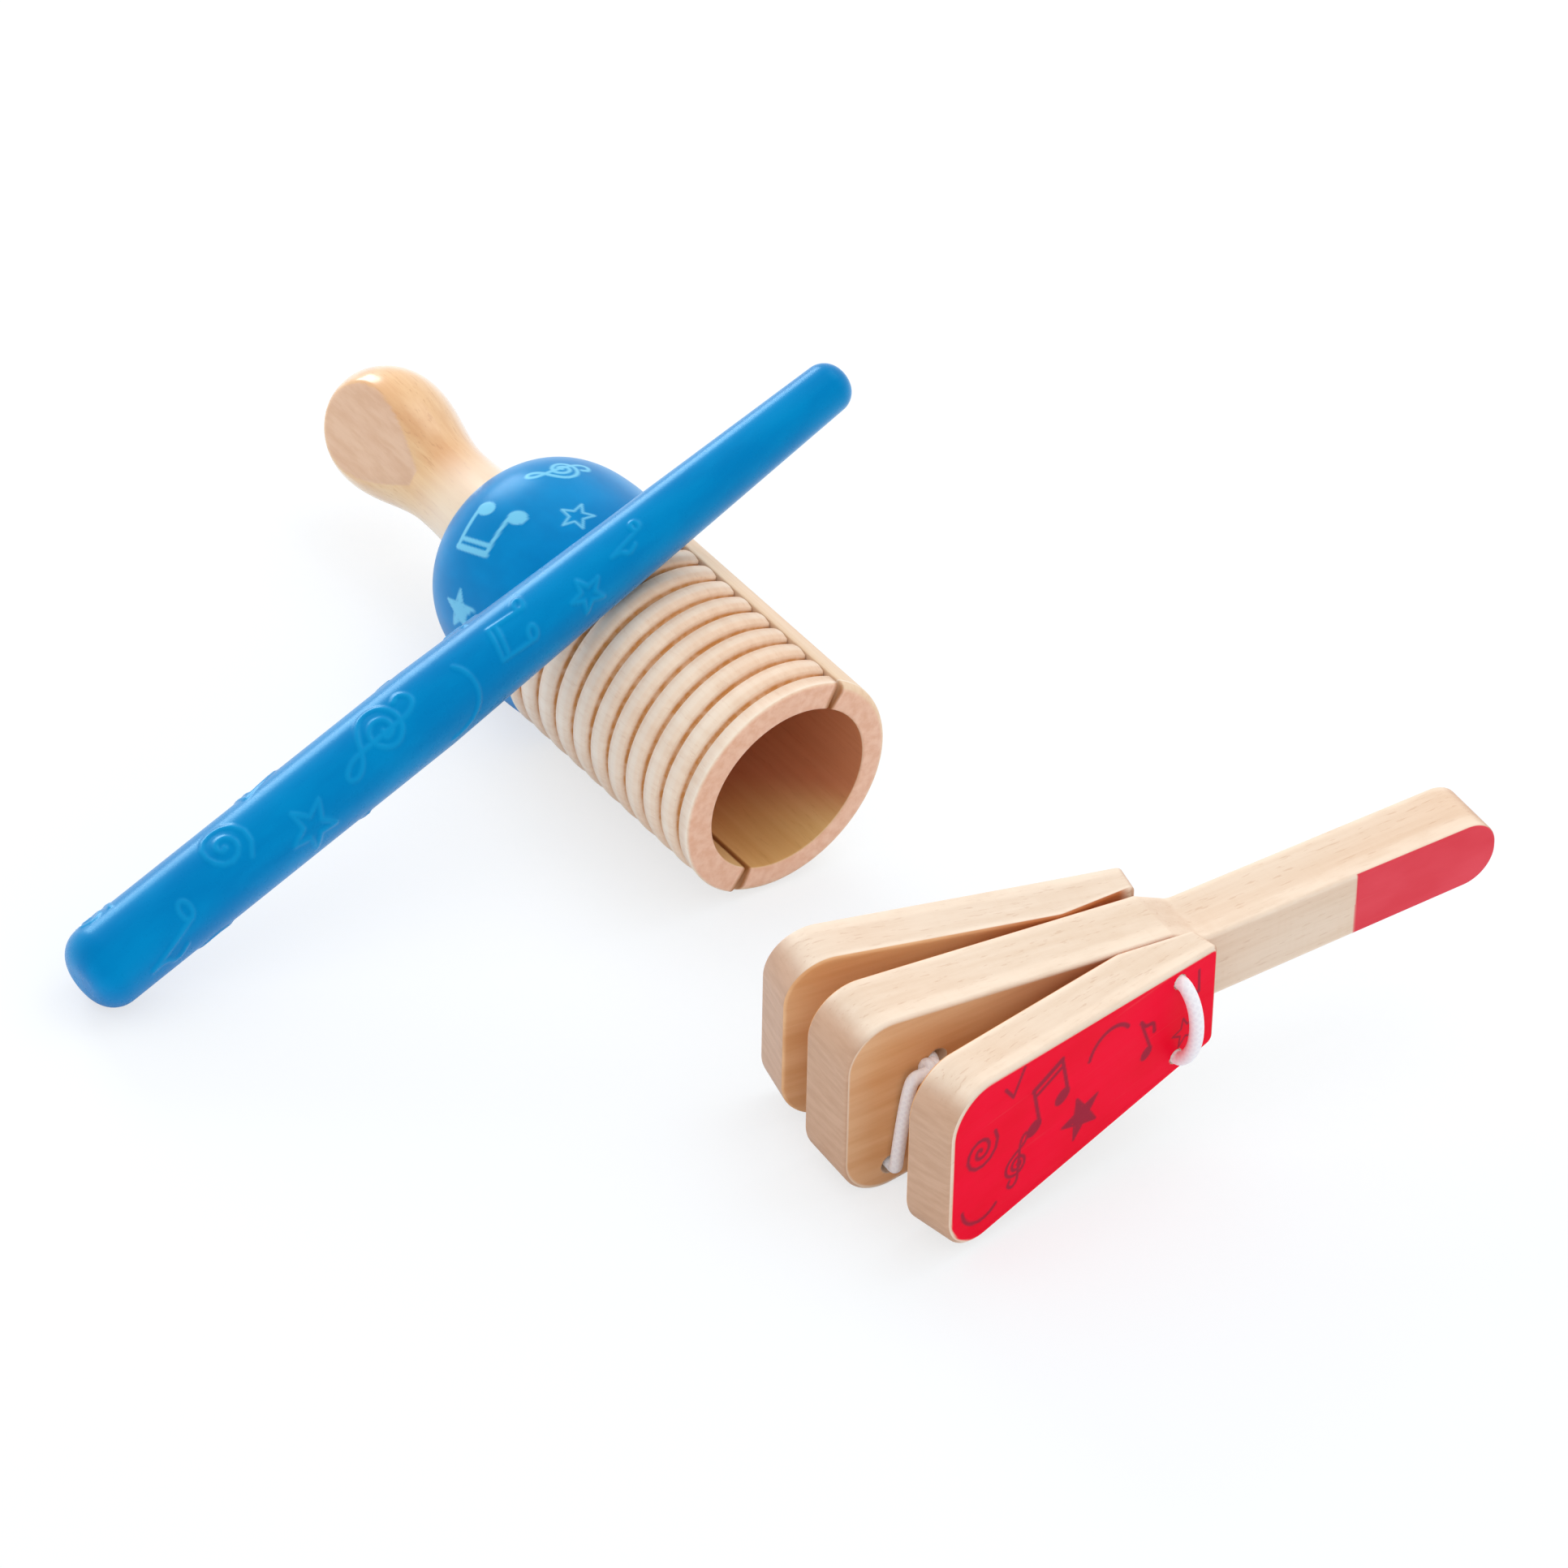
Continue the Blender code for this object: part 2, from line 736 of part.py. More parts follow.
# Clapper: its frame lies on the centre line at the free end, X along the boards, Z across
clapper_place = (clapper_beside, clapper_ahead, clapper_height)
clapper_turn = (0, -clapper_pitch, clapper_yaw)
clapper_frame = new_empty("clapper_frame", set_origin, clapper_place, clapper_turn)
front_place = (front_ridge, -hinge_from_centre, 0)
front_hinge = new_empty("front_hinge", clapper_frame, front_place, (0, 0, ridge_bevel - front_slack))
rear_place = (rear_ridge, hinge_from_centre, 0)
rear_hinge = new_empty("rear_hinge", clapper_frame, rear_place, (0, 0, rear_slack - ridge_bevel))
make_centre_board()
make_paddle("front_paddle", front_hinge, -1, hinge_hole_from_ridge, print_red)
make_paddle("rear_paddle", rear_hinge, 1, rear_hole_from_ridge, pale_wood)
make_hinge_cord(front_hinge, rear_hinge)
make_bumper_cord()
centre_over_table()
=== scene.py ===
# %% [markdown]
# # A guiro, its scraper and a board clapper
# Three small wooden instruments lie on a white table. The imported model gives every solid's
# place and how it moves; this script dresses each solid with a finer surface and a finish.
# It loads that frame first.

# %% Load the frame
import json
import math

import bmesh
import bpy
import numpy as np
from mathutils import Matrix, Vector


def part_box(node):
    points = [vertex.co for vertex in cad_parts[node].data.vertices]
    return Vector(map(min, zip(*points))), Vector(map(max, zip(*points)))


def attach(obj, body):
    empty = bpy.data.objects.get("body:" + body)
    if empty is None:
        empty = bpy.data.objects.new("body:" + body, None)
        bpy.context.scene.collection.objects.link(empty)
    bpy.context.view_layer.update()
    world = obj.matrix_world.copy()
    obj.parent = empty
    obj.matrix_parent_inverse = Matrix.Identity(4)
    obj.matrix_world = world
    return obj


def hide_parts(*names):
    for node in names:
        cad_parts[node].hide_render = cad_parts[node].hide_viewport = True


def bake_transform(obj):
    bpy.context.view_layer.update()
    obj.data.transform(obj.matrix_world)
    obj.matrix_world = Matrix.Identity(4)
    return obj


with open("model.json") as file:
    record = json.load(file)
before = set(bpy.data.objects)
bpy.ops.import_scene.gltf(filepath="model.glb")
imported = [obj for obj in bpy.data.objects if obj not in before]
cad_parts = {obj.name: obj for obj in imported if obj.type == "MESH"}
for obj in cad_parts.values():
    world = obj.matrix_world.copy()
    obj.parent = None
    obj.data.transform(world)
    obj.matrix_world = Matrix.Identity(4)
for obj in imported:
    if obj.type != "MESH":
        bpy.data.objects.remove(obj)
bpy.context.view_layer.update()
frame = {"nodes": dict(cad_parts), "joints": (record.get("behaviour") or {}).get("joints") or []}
scene = bpy.context.scene
print("nodes:", sorted(frame["nodes"]))

# %% [markdown]
# ## Where things are
# The guiro lies level along X. Its open end is the low X side of the ribbed half, and its
# axis is the middle of the cap, so both are read from the solids' boxes. The clapper has a
# frame of its own: along its boards, through them, and across them. Reading places from the
# frame keeps the dressed pieces on the solids if the solids ever move. Only the clapper's
# offset from the guiro and its two angles are given as numbers.

# %% Frames of the guiro and the clapper
shell_low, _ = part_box("ribbed_half_shell")
cap_low, cap_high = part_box("end_cap")
open_end = np.array([shell_low.x, (cap_low.y + cap_high.y) / 2, (cap_low.z + cap_high.z) / 2])
joints = {joint["name"]: joint for joint in frame["joints"]}
MM = 0.001


def unit(vector):
    """The vector divided by its length, row by row."""
    vector = np.asarray(vector, float)
    return vector / np.linalg.norm(vector, axis=-1, keepdims=True)


def pointing(yaw, pitch):
    """The direction at a yaw about the upright and a pitch up from the table."""
    return np.array([math.cos(pitch) * math.cos(yaw), math.cos(pitch) * math.sin(yaw), math.sin(pitch)])


clapper_yaw, clapper_pitch = math.radians(-94.57), math.radians(7.1)
clapper_before, clapper_beside, free_end_height = 84.8 * MM, 54.0 * MM, 22.259 * MM
board_along = pointing(clapper_yaw, clapper_pitch)
board_through = np.array([-math.sin(clapper_yaw), math.cos(clapper_yaw), 0.0])
board_across = np.cross(board_along, board_through)
board_free_end = np.array([open_end[0] - clapper_before, open_end[1] + clapper_beside, free_end_height])
print("open end of the guiro:", open_end.round(4), "free end of the boards:", board_free_end.round(4))

# %% [markdown]
# ## The camera
# The camera stands where the photograph was taken from: about 2.2 m away and looking down
# by 37 degrees, with a long lens, so lines that are parallel stay nearly parallel. Its place
# and directions were fitted to the object's corners in the photograph. The directions to its
# right, up and back are the columns of its matrix.

# %% Camera
camera_data = bpy.data.cameras.new("camera")
camera_data.sensor_width = 36
camera_data.lens = 222.02
camera_data.clip_end = 50
camera = bpy.data.objects.new("camera", camera_data)
scene.collection.objects.link(camera)
eye = open_end + np.array([-1.246444, 1.149207, 1.287683])
camera_right = np.array([-0.6024087, -0.78905598, 0.12039282])
camera_up = np.array([0.54192644, -0.29358413, 0.78747958])
camera_back = np.cross(camera_right, camera_up)
camera_turn = Matrix(np.stack([camera_right, camera_up, camera_back], 1).tolist())
camera.matrix_world = Matrix.Translation(eye.tolist()) @ camera_turn.to_4x4()
scene.camera = camera
print("camera at", eye.round(3))

# %% [markdown]
# ## Building with nodes
# A finish, like the surroundings, is a tree of nodes. A few helpers make a node, set or link
# its sockets and return the output that the next node needs, so that a finish reads from
# the inside out, as a formula does.

# %% Helpers for nodes


def wire(tree, node, values):
    """Set each named socket of a node, or link it where the value is another socket."""
    for key, value in values.items():
        if isinstance(value, bpy.types.NodeSocket):
            tree.links.new(value, node.inputs[key])
        else:
            node.inputs[key].default_value = value
    return node


def add(tree, kind, values=None, **settings):
    """A new node with its settings and its sockets."""
    node = tree.nodes.new(kind)
    for key, value in settings.items():
        setattr(node, key, value)
    return wire(tree, node, values or {})


def srgb(red, green, blue):
    """Linear colour of display channels from 0 to 255: the display's curve undone."""
    channels = np.array([red, green, blue]) / 255
    linear = np.where(channels <= 0.04045, channels / 12.92, ((channels + 0.055) / 1.055) ** 2.4)
    return (*linear.tolist(), 1.0)


def calculate(tree, operation, first, second=0.0, clamp=False):
    """The output of a Math node."""
    return add(tree, "ShaderNodeMath", {0: first, 1: second}, operation=operation,
               use_clamp=clamp).outputs[0]


def blended(tree, factor, first, second, blend="MIX"):
    """The colour output of a Mix node."""
    node = add(tree, "ShaderNodeMix", {0: factor, 6: first, 7: second}, data_type="RGBA",
               blend_type=blend)
    return node.outputs[2]


def spread(tree, value, low, high):
    """The value moved from low to high onto 0 to 1, and held there."""
    return add(tree, "ShaderNodeMapRange", {"Value": value, "From Min": low, "From Max": high},
               interpolation_type="SMOOTHSTEP").outputs["Result"]


def scaled(tree, value, factor, base=0.0):
    """The value times the factor, plus the base."""
    return add(tree, "ShaderNodeMath", {0: value, 1: factor, 2: base}, operation="MULTIPLY_ADD").outputs[0]


print("mid grey is", round(srgb(128, 128, 128)[0], 3), "in linear light")

# %% [markdown]
# ## Table and light
# A white table fills the view. Most of the light is the white surroundings. One large soft
# lamp above the table, a little beyond it, gives the shadows, and a smaller low one on the
# side of the guiro's handle draws the bright line along the stick. The camera sees the
# surroundings and the table as nearly pure white, while the object is lit by a little less,
# so that pale wood doesn't burn out.

# %% Surroundings
surroundings = bpy.data.worlds.new("surroundings")
surroundings.use_nodes = True
scene.world = surroundings
world_tree = surroundings.node_tree
world_tree.nodes.clear()
lit_by_it, seen = 0.93, 1.0
camera_sees = add(world_tree, "ShaderNodeLightPath").outputs["Is Camera Ray"]
world_strength = scaled(world_tree, camera_sees, seen - lit_by_it, lit_by_it)
sky = add(world_tree, "ShaderNodeBackground", {"Color": (1, 1, 1, 1), "Strength": world_strength})
add(world_tree, "ShaderNodeOutputWorld", {"Surface": sky.outputs[0]})
scene.view_settings.view_transform = "Standard"
print("surroundings seen at", seen, "and lighting with", lit_by_it)

# %% Table
half_table, glow_strength, share_of_glow = 4.0, 1.02, 0.66
table_mesh = bpy.data.meshes.new("table")
table_mesh.from_pydata([(-half_table, -half_table, 0), (half_table, -half_table, 0),
                        (half_table, half_table, 0), (-half_table, half_table, 0)], [], [(0, 1, 2, 3)])
table = bpy.data.objects.new("table", table_mesh)
scene.collection.objects.link(table)
table_paint = bpy.data.materials.new("white_table")
table_paint.use_nodes = True
tree = table_paint.node_tree
paint = wire(tree, tree.nodes["Principled BSDF"], {"Base Color": (0.86, 0.925, 0.99, 1), "Roughness": 0.9,
                                                   "Specular IOR Level": 0.1})
glow = add(tree, "ShaderNodeEmission", {"Strength": glow_strength})
camera_sees = add(tree, "ShaderNodeLightPath").outputs["Is Camera Ray"]
pale_table = add(tree, "ShaderNodeMixShader", {0: scaled(tree, camera_sees, share_of_glow),
                                               1: paint.outputs[0], 2: glow.outputs[0]})
tree.links.new(pale_table.outputs[0], tree.nodes["Material Output"].inputs["Surface"])
table_mesh.materials.append(table_paint)
print("table side, m:", 2 * half_table)

# %% Lamps


def soft_lamp(name, direction, distance, size, power):
    """A square lamp at a distance along a direction from the middle of the table, facing it."""
    data = bpy.data.lights.new(name, "AREA")
    data.shape = "SQUARE"
    data.size = size
    data.energy = power
    lamp = bpy.data.objects.new(name, data)
    scene.collection.objects.link(lamp)
    lamp.location = Vector(direction).normalized() * distance
    lamp.rotation_euler = Vector(direction).to_track_quat("Z", "Y").to_euler()
    print(name, "at", [round(v, 2) for v in lamp.location])


soft_lamp("key_lamp", direction=(0.10, -0.60, 1.25), distance=1.5, size=0.9, power=3.3)
soft_lamp("rim_lamp", direction=(0.91, -0.12, 0.40), distance=1.3, size=0.5, power=5.5)

# %% [markdown]
# ## How each surface is made
# Every piece is a grid of points worked out at once with numpy. Where the grid meets itself,
# at a seam or a pole, the doubled points are merged, so each piece is one closed skin whose
# faces point outwards. Facts that a finish needs, such as how far along the grain a point
# lies, are kept on the points as attributes.

# %% Grids and pieces


def grid_faces(rows, columns, wrap_rows=False, wrap_columns=False):
    """Quads of a grid: each joins a point, the next in its row, and the two below them."""
    down, right = np.meshgrid(np.arange(rows if wrap_rows else rows - 1),
                              np.arange(columns if wrap_columns else columns - 1), indexing="ij")
    low, far = (down + 1) % rows, (right + 1) % columns
    corners = [down * columns + right, down * columns + far, low * columns + far, low * columns + right]
    return np.stack(corners, -1).reshape(-1, 4)


def make_piece(name, points, faces, marks=None, sharp=38, weld=2e-6):
    """A closed mesh object of points and quads, with marks such as places along the grain."""
    points = np.asarray(points, float).reshape(-1, 3)
    mesh = bpy.data.meshes.new(name)
    mesh.vertices.add(len(points))
    mesh.vertices.foreach_set("co", points.ravel())
    mesh.loops.add(faces.size)
    mesh.loops.foreach_set("vertex_index", faces.ravel().astype(np.int32))
    mesh.polygons.add(len(faces))
    mesh.polygons.foreach_set("loop_start", np.arange(0, faces.size, 4, dtype=np.int32))
    mesh.update(calc_edges=True)
    for label, values in (marks or {}).items():
        values = np.asarray(values, float)
        vector = values.size == len(points) * 3
        layer = mesh.attributes.new(label, "FLOAT_VECTOR" if vector else "FLOAT", "POINT")
        layer.data.foreach_set("vector" if vector else "value", values.ravel())
    work = bmesh.new()
    work.from_mesh(mesh)
    bmesh.ops.remove_doubles(work, verts=work.verts, dist=weld)
    bmesh.ops.dissolve_degenerate(work, edges=work.edges, dist=weld / 4)
    bmesh.ops.recalc_face_normals(work, faces=work.faces)
    work.to_mesh(mesh)
    work.free()
    mesh.shade_smooth()
    mesh.set_sharp_from_angle(angle=math.radians(sharp))
    piece = bpy.data.objects.new(name, mesh)
    scene.collection.objects.link(piece)
    return piece


def coat(piece, material):
    """Give a piece its finish, and print how many faces it has."""
    piece.data.materials.clear()
    piece.data.materials.append(material)
    print(piece.name, len(piece.data.polygons), "faces")
    return piece


def dress(piece, material, body, slot, *nodes):
    """Give a piece its finish and its body, and let it stand for the solids that are named."""
    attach(piece, body)
    coat(piece, material)
    if nodes:
        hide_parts(*nodes)
    return piece


def ramp(first, last, count, crowd=1.0):
    """Numbers from first to last; crowd above 1 packs them near the first."""
    return first + (last - first) * np.linspace(0, 1, count) ** crowd


def eased(value):
    """The smooth step 3t^2 - 2t^3 of a value held between 0 and 1."""
    value = np.clip(value, 0, 1)
    return value * value * (3 - 2 * value)


def lathe(origin, along, side, radius, height, angle):
    """Points of a turned skin: origin, plus the height along the axis, plus the radius
    times the direction at the angle, which is side at nought."""
    up = np.cross(along, side)
    spoke = np.cos(angle)[..., None] * side + np.sin(angle)[..., None] * up
    return origin + height[..., None] * along + radius[..., None] * spoke


def turned_grid(profile, steps):
    """Radius, height and angle of every point of a profile turned in equal steps."""
    turn = np.linspace(0, math.tau, steps, endpoint=False)
    radius, angle = np.meshgrid(profile[:, 0], turn, indexing="ij")
    return radius, np.repeat(profile[:, 1:], steps, 1), angle


def turned_grain(height, radius, angle):
    """Where each point of a turned piece lies in its wood: along the axis, and two ways across."""
    return np.stack([height, radius * np.cos(angle), radius * np.sin(angle)], -1)


print("a grid of 3 by 4 points has", len(grid_faces(3, 4)), "faces")

# %% [markdown]
# ## Ink and relief
# The printed and raised signs are a few textbook signs of music, and stars and scrolls, laid
# out freely. Each is a set of strokes. The distance from a point to the nearest stroke says
# whether the point is inked, which gives crisp edges on a fine grid without any picture.

# %% Signs as strokes


def near_stroke(points, path):
    """Distance to a path: the least over its straight runs of the distance to the run,
    where the foot on each run is held between its two ends."""
    least = np.full(len(points), 1e9)
    for start, end in zip(path[:-1], path[1:]):
        run = end - start
        share = np.clip((points - start) @ run / max(run @ run, 1e-18), 0, 1)
        least = np.minimum(least, np.linalg.norm(points - start - share[:, None] * run, axis=1))
    return least


def inside(points, outline):
    """Whether points lie inside a closed outline: a line to the right crosses it an odd
    number of times."""
    odd = np.zeros(len(points), bool)
    for (x0, y0), (x1, y1) in zip(outline, np.roll(outline, -1, 0)):
        spans = (y0 > points[:, 1]) != (y1 > points[:, 1])
        slope = (x1 - x0) / (y1 - y0) if y1 != y0 else 0.0
        odd ^= spans & (points[:, 0] < x0 + slope * (points[:, 1] - y0))
    return odd


def round_about(x, y, radius, angle):
    """Points at a radius and an angle from a place; the radius may change with the angle."""
    return np.stack([x + radius * np.cos(angle), y + radius * np.sin(angle)], 1)


def arc(x, y, radius, start, end, count=14):
    """Points of a circle's arc between two angles in degrees."""
    return round_about(x, y, radius, np.radians(np.linspace(start, end, count)))


def spiral(turns, count=26):
    """A scroll: the radius grows evenly with the angle."""
    angle = np.linspace(0.6, turns * math.tau, count)
    return round_about(0, 0, 0.5 * angle / angle[-1], angle)


def star_outline(points=5, inner=0.42):
    """A star: its corners lie by turns on an outer and an inner circle."""
    angle = np.pi / 2 + np.arange(2 * points + 1) * np.pi / points
    return round_about(0, 0, np.where(np.arange(2 * points + 1) % 2 == 0, 0.5, 0.5 * inner), angle)


def line(*places):
    """A path through the places."""
    return np.array(places, float)


def oval(x, y, long, short, turn, count=18):
    """An ellipse turned by an angle in degrees."""
    angle = np.linspace(0, math.tau, count)
    turn = math.radians(turn)
    across, up = long * np.cos(angle), short * np.sin(angle)
    return np.stack([x + across * math.cos(turn) - up * math.sin(turn),
                     y + across * math.sin(turn) + up * math.cos(turn)], 1)


def eased_path(*places):
    """A path whose corners are cut three times, so that it curves."""
    path = line(*places)
    for _ in range(3):
        cut = np.stack([0.75 * path[:-1] + 0.25 * path[1:], 0.25 * path[:-1] + 0.75 * path[1:]], 1)
        path = np.concatenate([path[:1], cut.reshape(-1, 2), path[-1:]])
    return path


FILL = 0.07
HEAD = oval(0, 0, 0.13, 0.085, 20)
SIGNS = {
    "note": [(HEAD + (-0.08, -0.36), 0.04), (line((-0.12, -0.37), (-0.05, -0.35)), 0.09),
             (line((0.04, -0.32), (0.04, 0.5)), 0.035),
             (eased_path((0.04, 0.5), (0.10, 0.28), (0.30, 0.20), (0.24, -0.04)), 0.045)],
    "pair": [(HEAD + (-0.36, -0.36), 0.04), (line((-0.40, -0.37), (-0.33, -0.35)), 0.09),
             (HEAD + (0.26, -0.26), 0.04), (line((0.22, -0.27), (0.29, -0.25)), 0.09),
             (line((-0.24, -0.32), (-0.24, 0.36)), 0.035), (line((0.38, -0.22), (0.38, 0.46)), 0.035),
             (line((-0.24, 0.36), (0.38, 0.46)), 0.05), (line((-0.24, 0.22), (0.38, 0.32)), 0.035)],
    "star": [(star_outline(), 0.035)],
    "full_star": [(star_outline(), 0.03), (line((0, -0.01), (0, 0.01)), 0.22),
                  *[(line((0, 0), (0.36 * math.cos(turn), 0.36 * math.sin(turn))), 0.075)
                    for turn in np.pi / 2 + np.arange(5) * math.tau / 5]],
    "scroll": [(spiral(2.1), 0.045)],
    "arc": [(arc(0, -0.3, 0.62, 25, 155), 0.05)],
    "clef": [(eased_path((0.02, -0.14), (0.12, -0.08), (0.10, -0.26), (-0.08, -0.28), (-0.16, -0.12),
                         (-0.04, 0.06), (0.16, 0.02), (0.26, -0.16), (0.16, -0.36), (-0.06, -0.42),
                         (-0.28, -0.32), (-0.32, -0.08), (-0.14, 0.14), (0.10, 0.30), (0.18, 0.50),
                         (0.08, 0.60), (-0.02, 0.44), (0.0, 0.20), (0.08, -0.30), (0.12, -0.56),
                         (0.0, -0.70), (-0.16, -0.62), (-0.12, -0.50)), 0.04)],
    "tick": [(line((-0.3, 0.1), (-0.02, -0.3), (0.34, 0.4)), 0.05)],
}


def ink(points, signs, softness, line_width=0.0):
    """How far each point is inked, from 0 to 1. Each sign is (name, x, y, size, turn): its
    strokes are scaled, turned and moved, and a point inside a stroke's half width is inked.
    With a line width all strokes are as wide as that, and the broad filling ones are left out."""
    amount = np.zeros(len(points))
    for name, x, y, size, turn in signs:
        cosine, sine = math.cos(math.radians(turn)), math.sin(math.radians(turn))
        near = np.linalg.norm(points - (x, y), axis=1) < size
        local = (points[near] - (x, y)) @ np.array([[cosine, -sine], [sine, cosine]]) / size
        for path, half_width in SIGNS[name]:
            if line_width and half_width > FILL:
                continue
            half = line_width / 2 / size if line_width else half_width
            edge = (half - near_stroke(local, path)) * size
            amount[near] = np.maximum(amount[near], eased(0.5 + edge / softness))
    return amount


print("signs:", sorted(SIGNS))

# %% [markdown]
# ## The look of wood
# The wood is pale and close-grained, like beech or maple: long faint streaks, broad bands
# from the year rings, and short darker flecks. One node group makes all three from a point's
# place along and across the grain, so each wooden piece shares it with its own two colours.
# A second group makes edges paler in patches: partly wear, where hands and the table rub them, and partly a
# painted highlight along rounded edges and crests.

# %% Helpers for finishes


def new_group(name, inputs, outputs):
    """A shader node group with named sockets, and its input and output nodes."""
    group = bpy.data.node_groups.new(name, "ShaderNodeTree")
    for label, kind in inputs:
        group.interface.new_socket(name=label, in_out="INPUT", socket_type="NodeSocket" + kind)
    for label, kind in outputs:
        group.interface.new_socket(name=label, in_out="OUTPUT", socket_type="NodeSocket" + kind)
    return group, group.nodes.new("NodeGroupInput"), group.nodes.new("NodeGroupOutput")


def stretched_noise(tree, place, scale, detail, roughness=0.55):
    """Noise whose features are drawn out along the grain."""
    moved = add(tree, "ShaderNodeMapping", {"Vector": place, "Scale": scale})
    return add(tree, "ShaderNodeTexNoise", {"Vector": moved.outputs[0], "Scale": 1.0, "Detail": detail,
                                            "Roughness": roughness}).outputs["Fac"]


def patches(tree, place, scale, detail, low=0.3, high=0.7):
    """The same noise, pushed apart towards nought and one, as a mask of patches or streaks."""
    return spread(tree, stretched_noise(tree, place, scale, detail), low, high)


def mottled(tree, place, scale, detail, first, second):
    """A colour that wanders between two display colours in patches."""
    return blended(tree, patches(tree, place, scale, detail), srgb(*first), srgb(*second))


def bumped(tree, height, strength, distance):
    """The normal, tilted by a height that varies over the surface."""
    return add(tree, "ShaderNodeBump", {"Strength": strength, "Distance": distance,
                                        "Height": height}).outputs[0]


def mark(tree, name, output="Fac"):
    """The value, or the vector, of one of the marks kept on the points."""
    return add(tree, "ShaderNodeAttribute", attribute_name=name).outputs[output]


def new_material(name):
    """A material, its node tree and its Principled shader."""
    material = bpy.data.materials.new(name)
    material.use_nodes = True
    return material, material.node_tree, material.node_tree.nodes["Principled BSDF"]


print("materials read these marks: grain, edge and the ones that each piece adds")

# %% Node groups for wood and for worn, highlit edges
wood_group, given, result = new_group(
    "wood_figure",
    [("Place", "Vector"), ("Pale", "Color"), ("Dark", "Color"), ("Bands", "Float"), ("Flecks", "Float")],
    [("Colour", "Color"), ("Roughness", "Float"), ("Height", "Float")])
place = given.outputs["Place"]
fibre = stretched_noise(wood_group, place, (22, 620, 620), 5)
ring_place = add(wood_group, "ShaderNodeMapping", {"Vector": place, "Scale": (0.10, 1, 0.55)})
rings = add(wood_group, "ShaderNodeTexWave", {"Vector": ring_place.outputs[0], "Scale": 62.0,
                                              "Distortion": 2.6, "Detail": 2.0, "Detail Scale": 0.6},
            bands_direction="DIAGONAL").outputs["Fac"]
bands = calculate(wood_group, "MULTIPLY", spread(wood_group, rings, 0.45, 1.0), given.outputs["Bands"])
streaks = scaled(wood_group, spread(wood_group, fibre, 0.32, 0.70), 0.42)
clouds = scaled(wood_group, patches(wood_group, place, (7, 60, 60), 3, 0.35, 0.70), 0.40)
figure = calculate(wood_group, "ADD", calculate(wood_group, "ADD", streaks, clouds), bands, clamp=True)
figured = blended(wood_group, figure, given.outputs["Pale"], given.outputs["Dark"])
drift = scaled(wood_group, patches(wood_group, place, (9, 22, 22), 2, 0.4, 0.75), 0.35)
warm = blended(wood_group, drift, figured, srgb(244, 206, 170), "MULTIPLY")
fleck = calculate(wood_group, "MULTIPLY", patches(wood_group, place, (190, 1500, 1500), 2, 0.60, 0.70),
                  given.outputs["Flecks"])
wire(wood_group, result, {"Colour": blended(wood_group, fleck, warm, srgb(196, 150, 112), "MULTIPLY"),
                          "Roughness": scaled(wood_group, fibre, 0.22, 0.36),
                          "Height": calculate(wood_group, "SUBTRACT", fibre, fleck)})

# Edges paler in patches: partly wear, partly a painted highlight along rounded edges and crests.
wear_and_highlight_group, given, result = new_group(
    "worn_and_highlit_edge", [("Colour", "Color"), ("Wear and highlight", "Color"), ("Edge", "Float"), ("Place", "Vector")],
    [("Colour", "Color")])
in_patches = patches(wear_and_highlight_group, given.outputs["Place"], (90, 240, 240), 3, 0.25, 0.62)
wear_and_highlight = calculate(wear_and_highlight_group, "MULTIPLY", spread(wear_and_highlight_group, given.outputs["Edge"], 0.35, 1.0),
                 scaled(wear_and_highlight_group, in_patches, 0.4, 0.3))
wire(wear_and_highlight_group, result, {"Colour": blended(wear_and_highlight_group, wear_and_highlight, given.outputs["Colour"],
                                            given.outputs["Wear and highlight"])})


def wood_material(name, pale, dark, bands=0.12, flecks=0.15, wear_and_highlight=(253, 240, 222), relief=0.15):
    """Bare sanded wood. Returns the material, its tree, its shader, its colour and its place."""
    material, tree, shader = new_material(name)
    place = mark(tree, "grain", "Vector")
    figure = add(tree, "ShaderNodeGroup", node_tree=wood_group)
    wire(tree, figure, {"Place": place, "Pale": srgb(*pale), "Dark": srgb(*dark), "Bands": bands,
                        "Flecks": flecks})
    paler_edges = add(tree, "ShaderNodeGroup", node_tree=wear_and_highlight_group)
    wire(tree, paler_edges, {"Colour": figure.outputs["Colour"], "Wear and highlight": srgb(*wear_and_highlight),
                      "Edge": mark(tree, "edge"), "Place": place})
    normal = bumped(tree, figure.outputs["Height"], relief, 0.0003)
    wire(tree, shader, {"Base Color": paler_edges.outputs["Colour"], "Roughness": figure.outputs["Roughness"],
                        "Normal": normal, "Specular IOR Level": 0.35})
    return material, tree, shader, paler_edges.outputs["Colour"], place


print("node groups:", [group.name for group in bpy.data.node_groups])

# %% [markdown]
# ## The tube's two halves
# The tube was turned, sawn in two along its length and glued round the cap with a gap at
# each saw cut. One half has ten grooves with broad round crests, and the other is smooth. A
# half is a grid: its rows are places along the tube, first outside and then inside, and its
# columns are steps round it from one flat saw cut to the other. The gap is thin on the
# outside and opens at the mouth, where the cut was broken out.

# %% Profile of the half shells
tube_radius, bore_radius, tube_length = 27.5 * MM, 20.8 * MM, 67.5 * MM
split_gap, split_roll = 1.3 * MM, math.radians(23.8)
seam_gap, mouth_gap, mouth_flare = 0.5 * MM, 2.0 * MM, 1.6 * MM
groove_first, groove_pitch, groove_width, groove_depth = 5.0 * MM, 6.54 * MM, 2.2 * MM, 1.8 * MM
crest_drop, groove_count = 0.4 * MM, 10
bore_round, cut_round = 0.5 * MM, 0.3 * MM
along_x, down = np.array([1.0, 0.0, 0.0]), np.array([0.0, 0.0, -1.0])


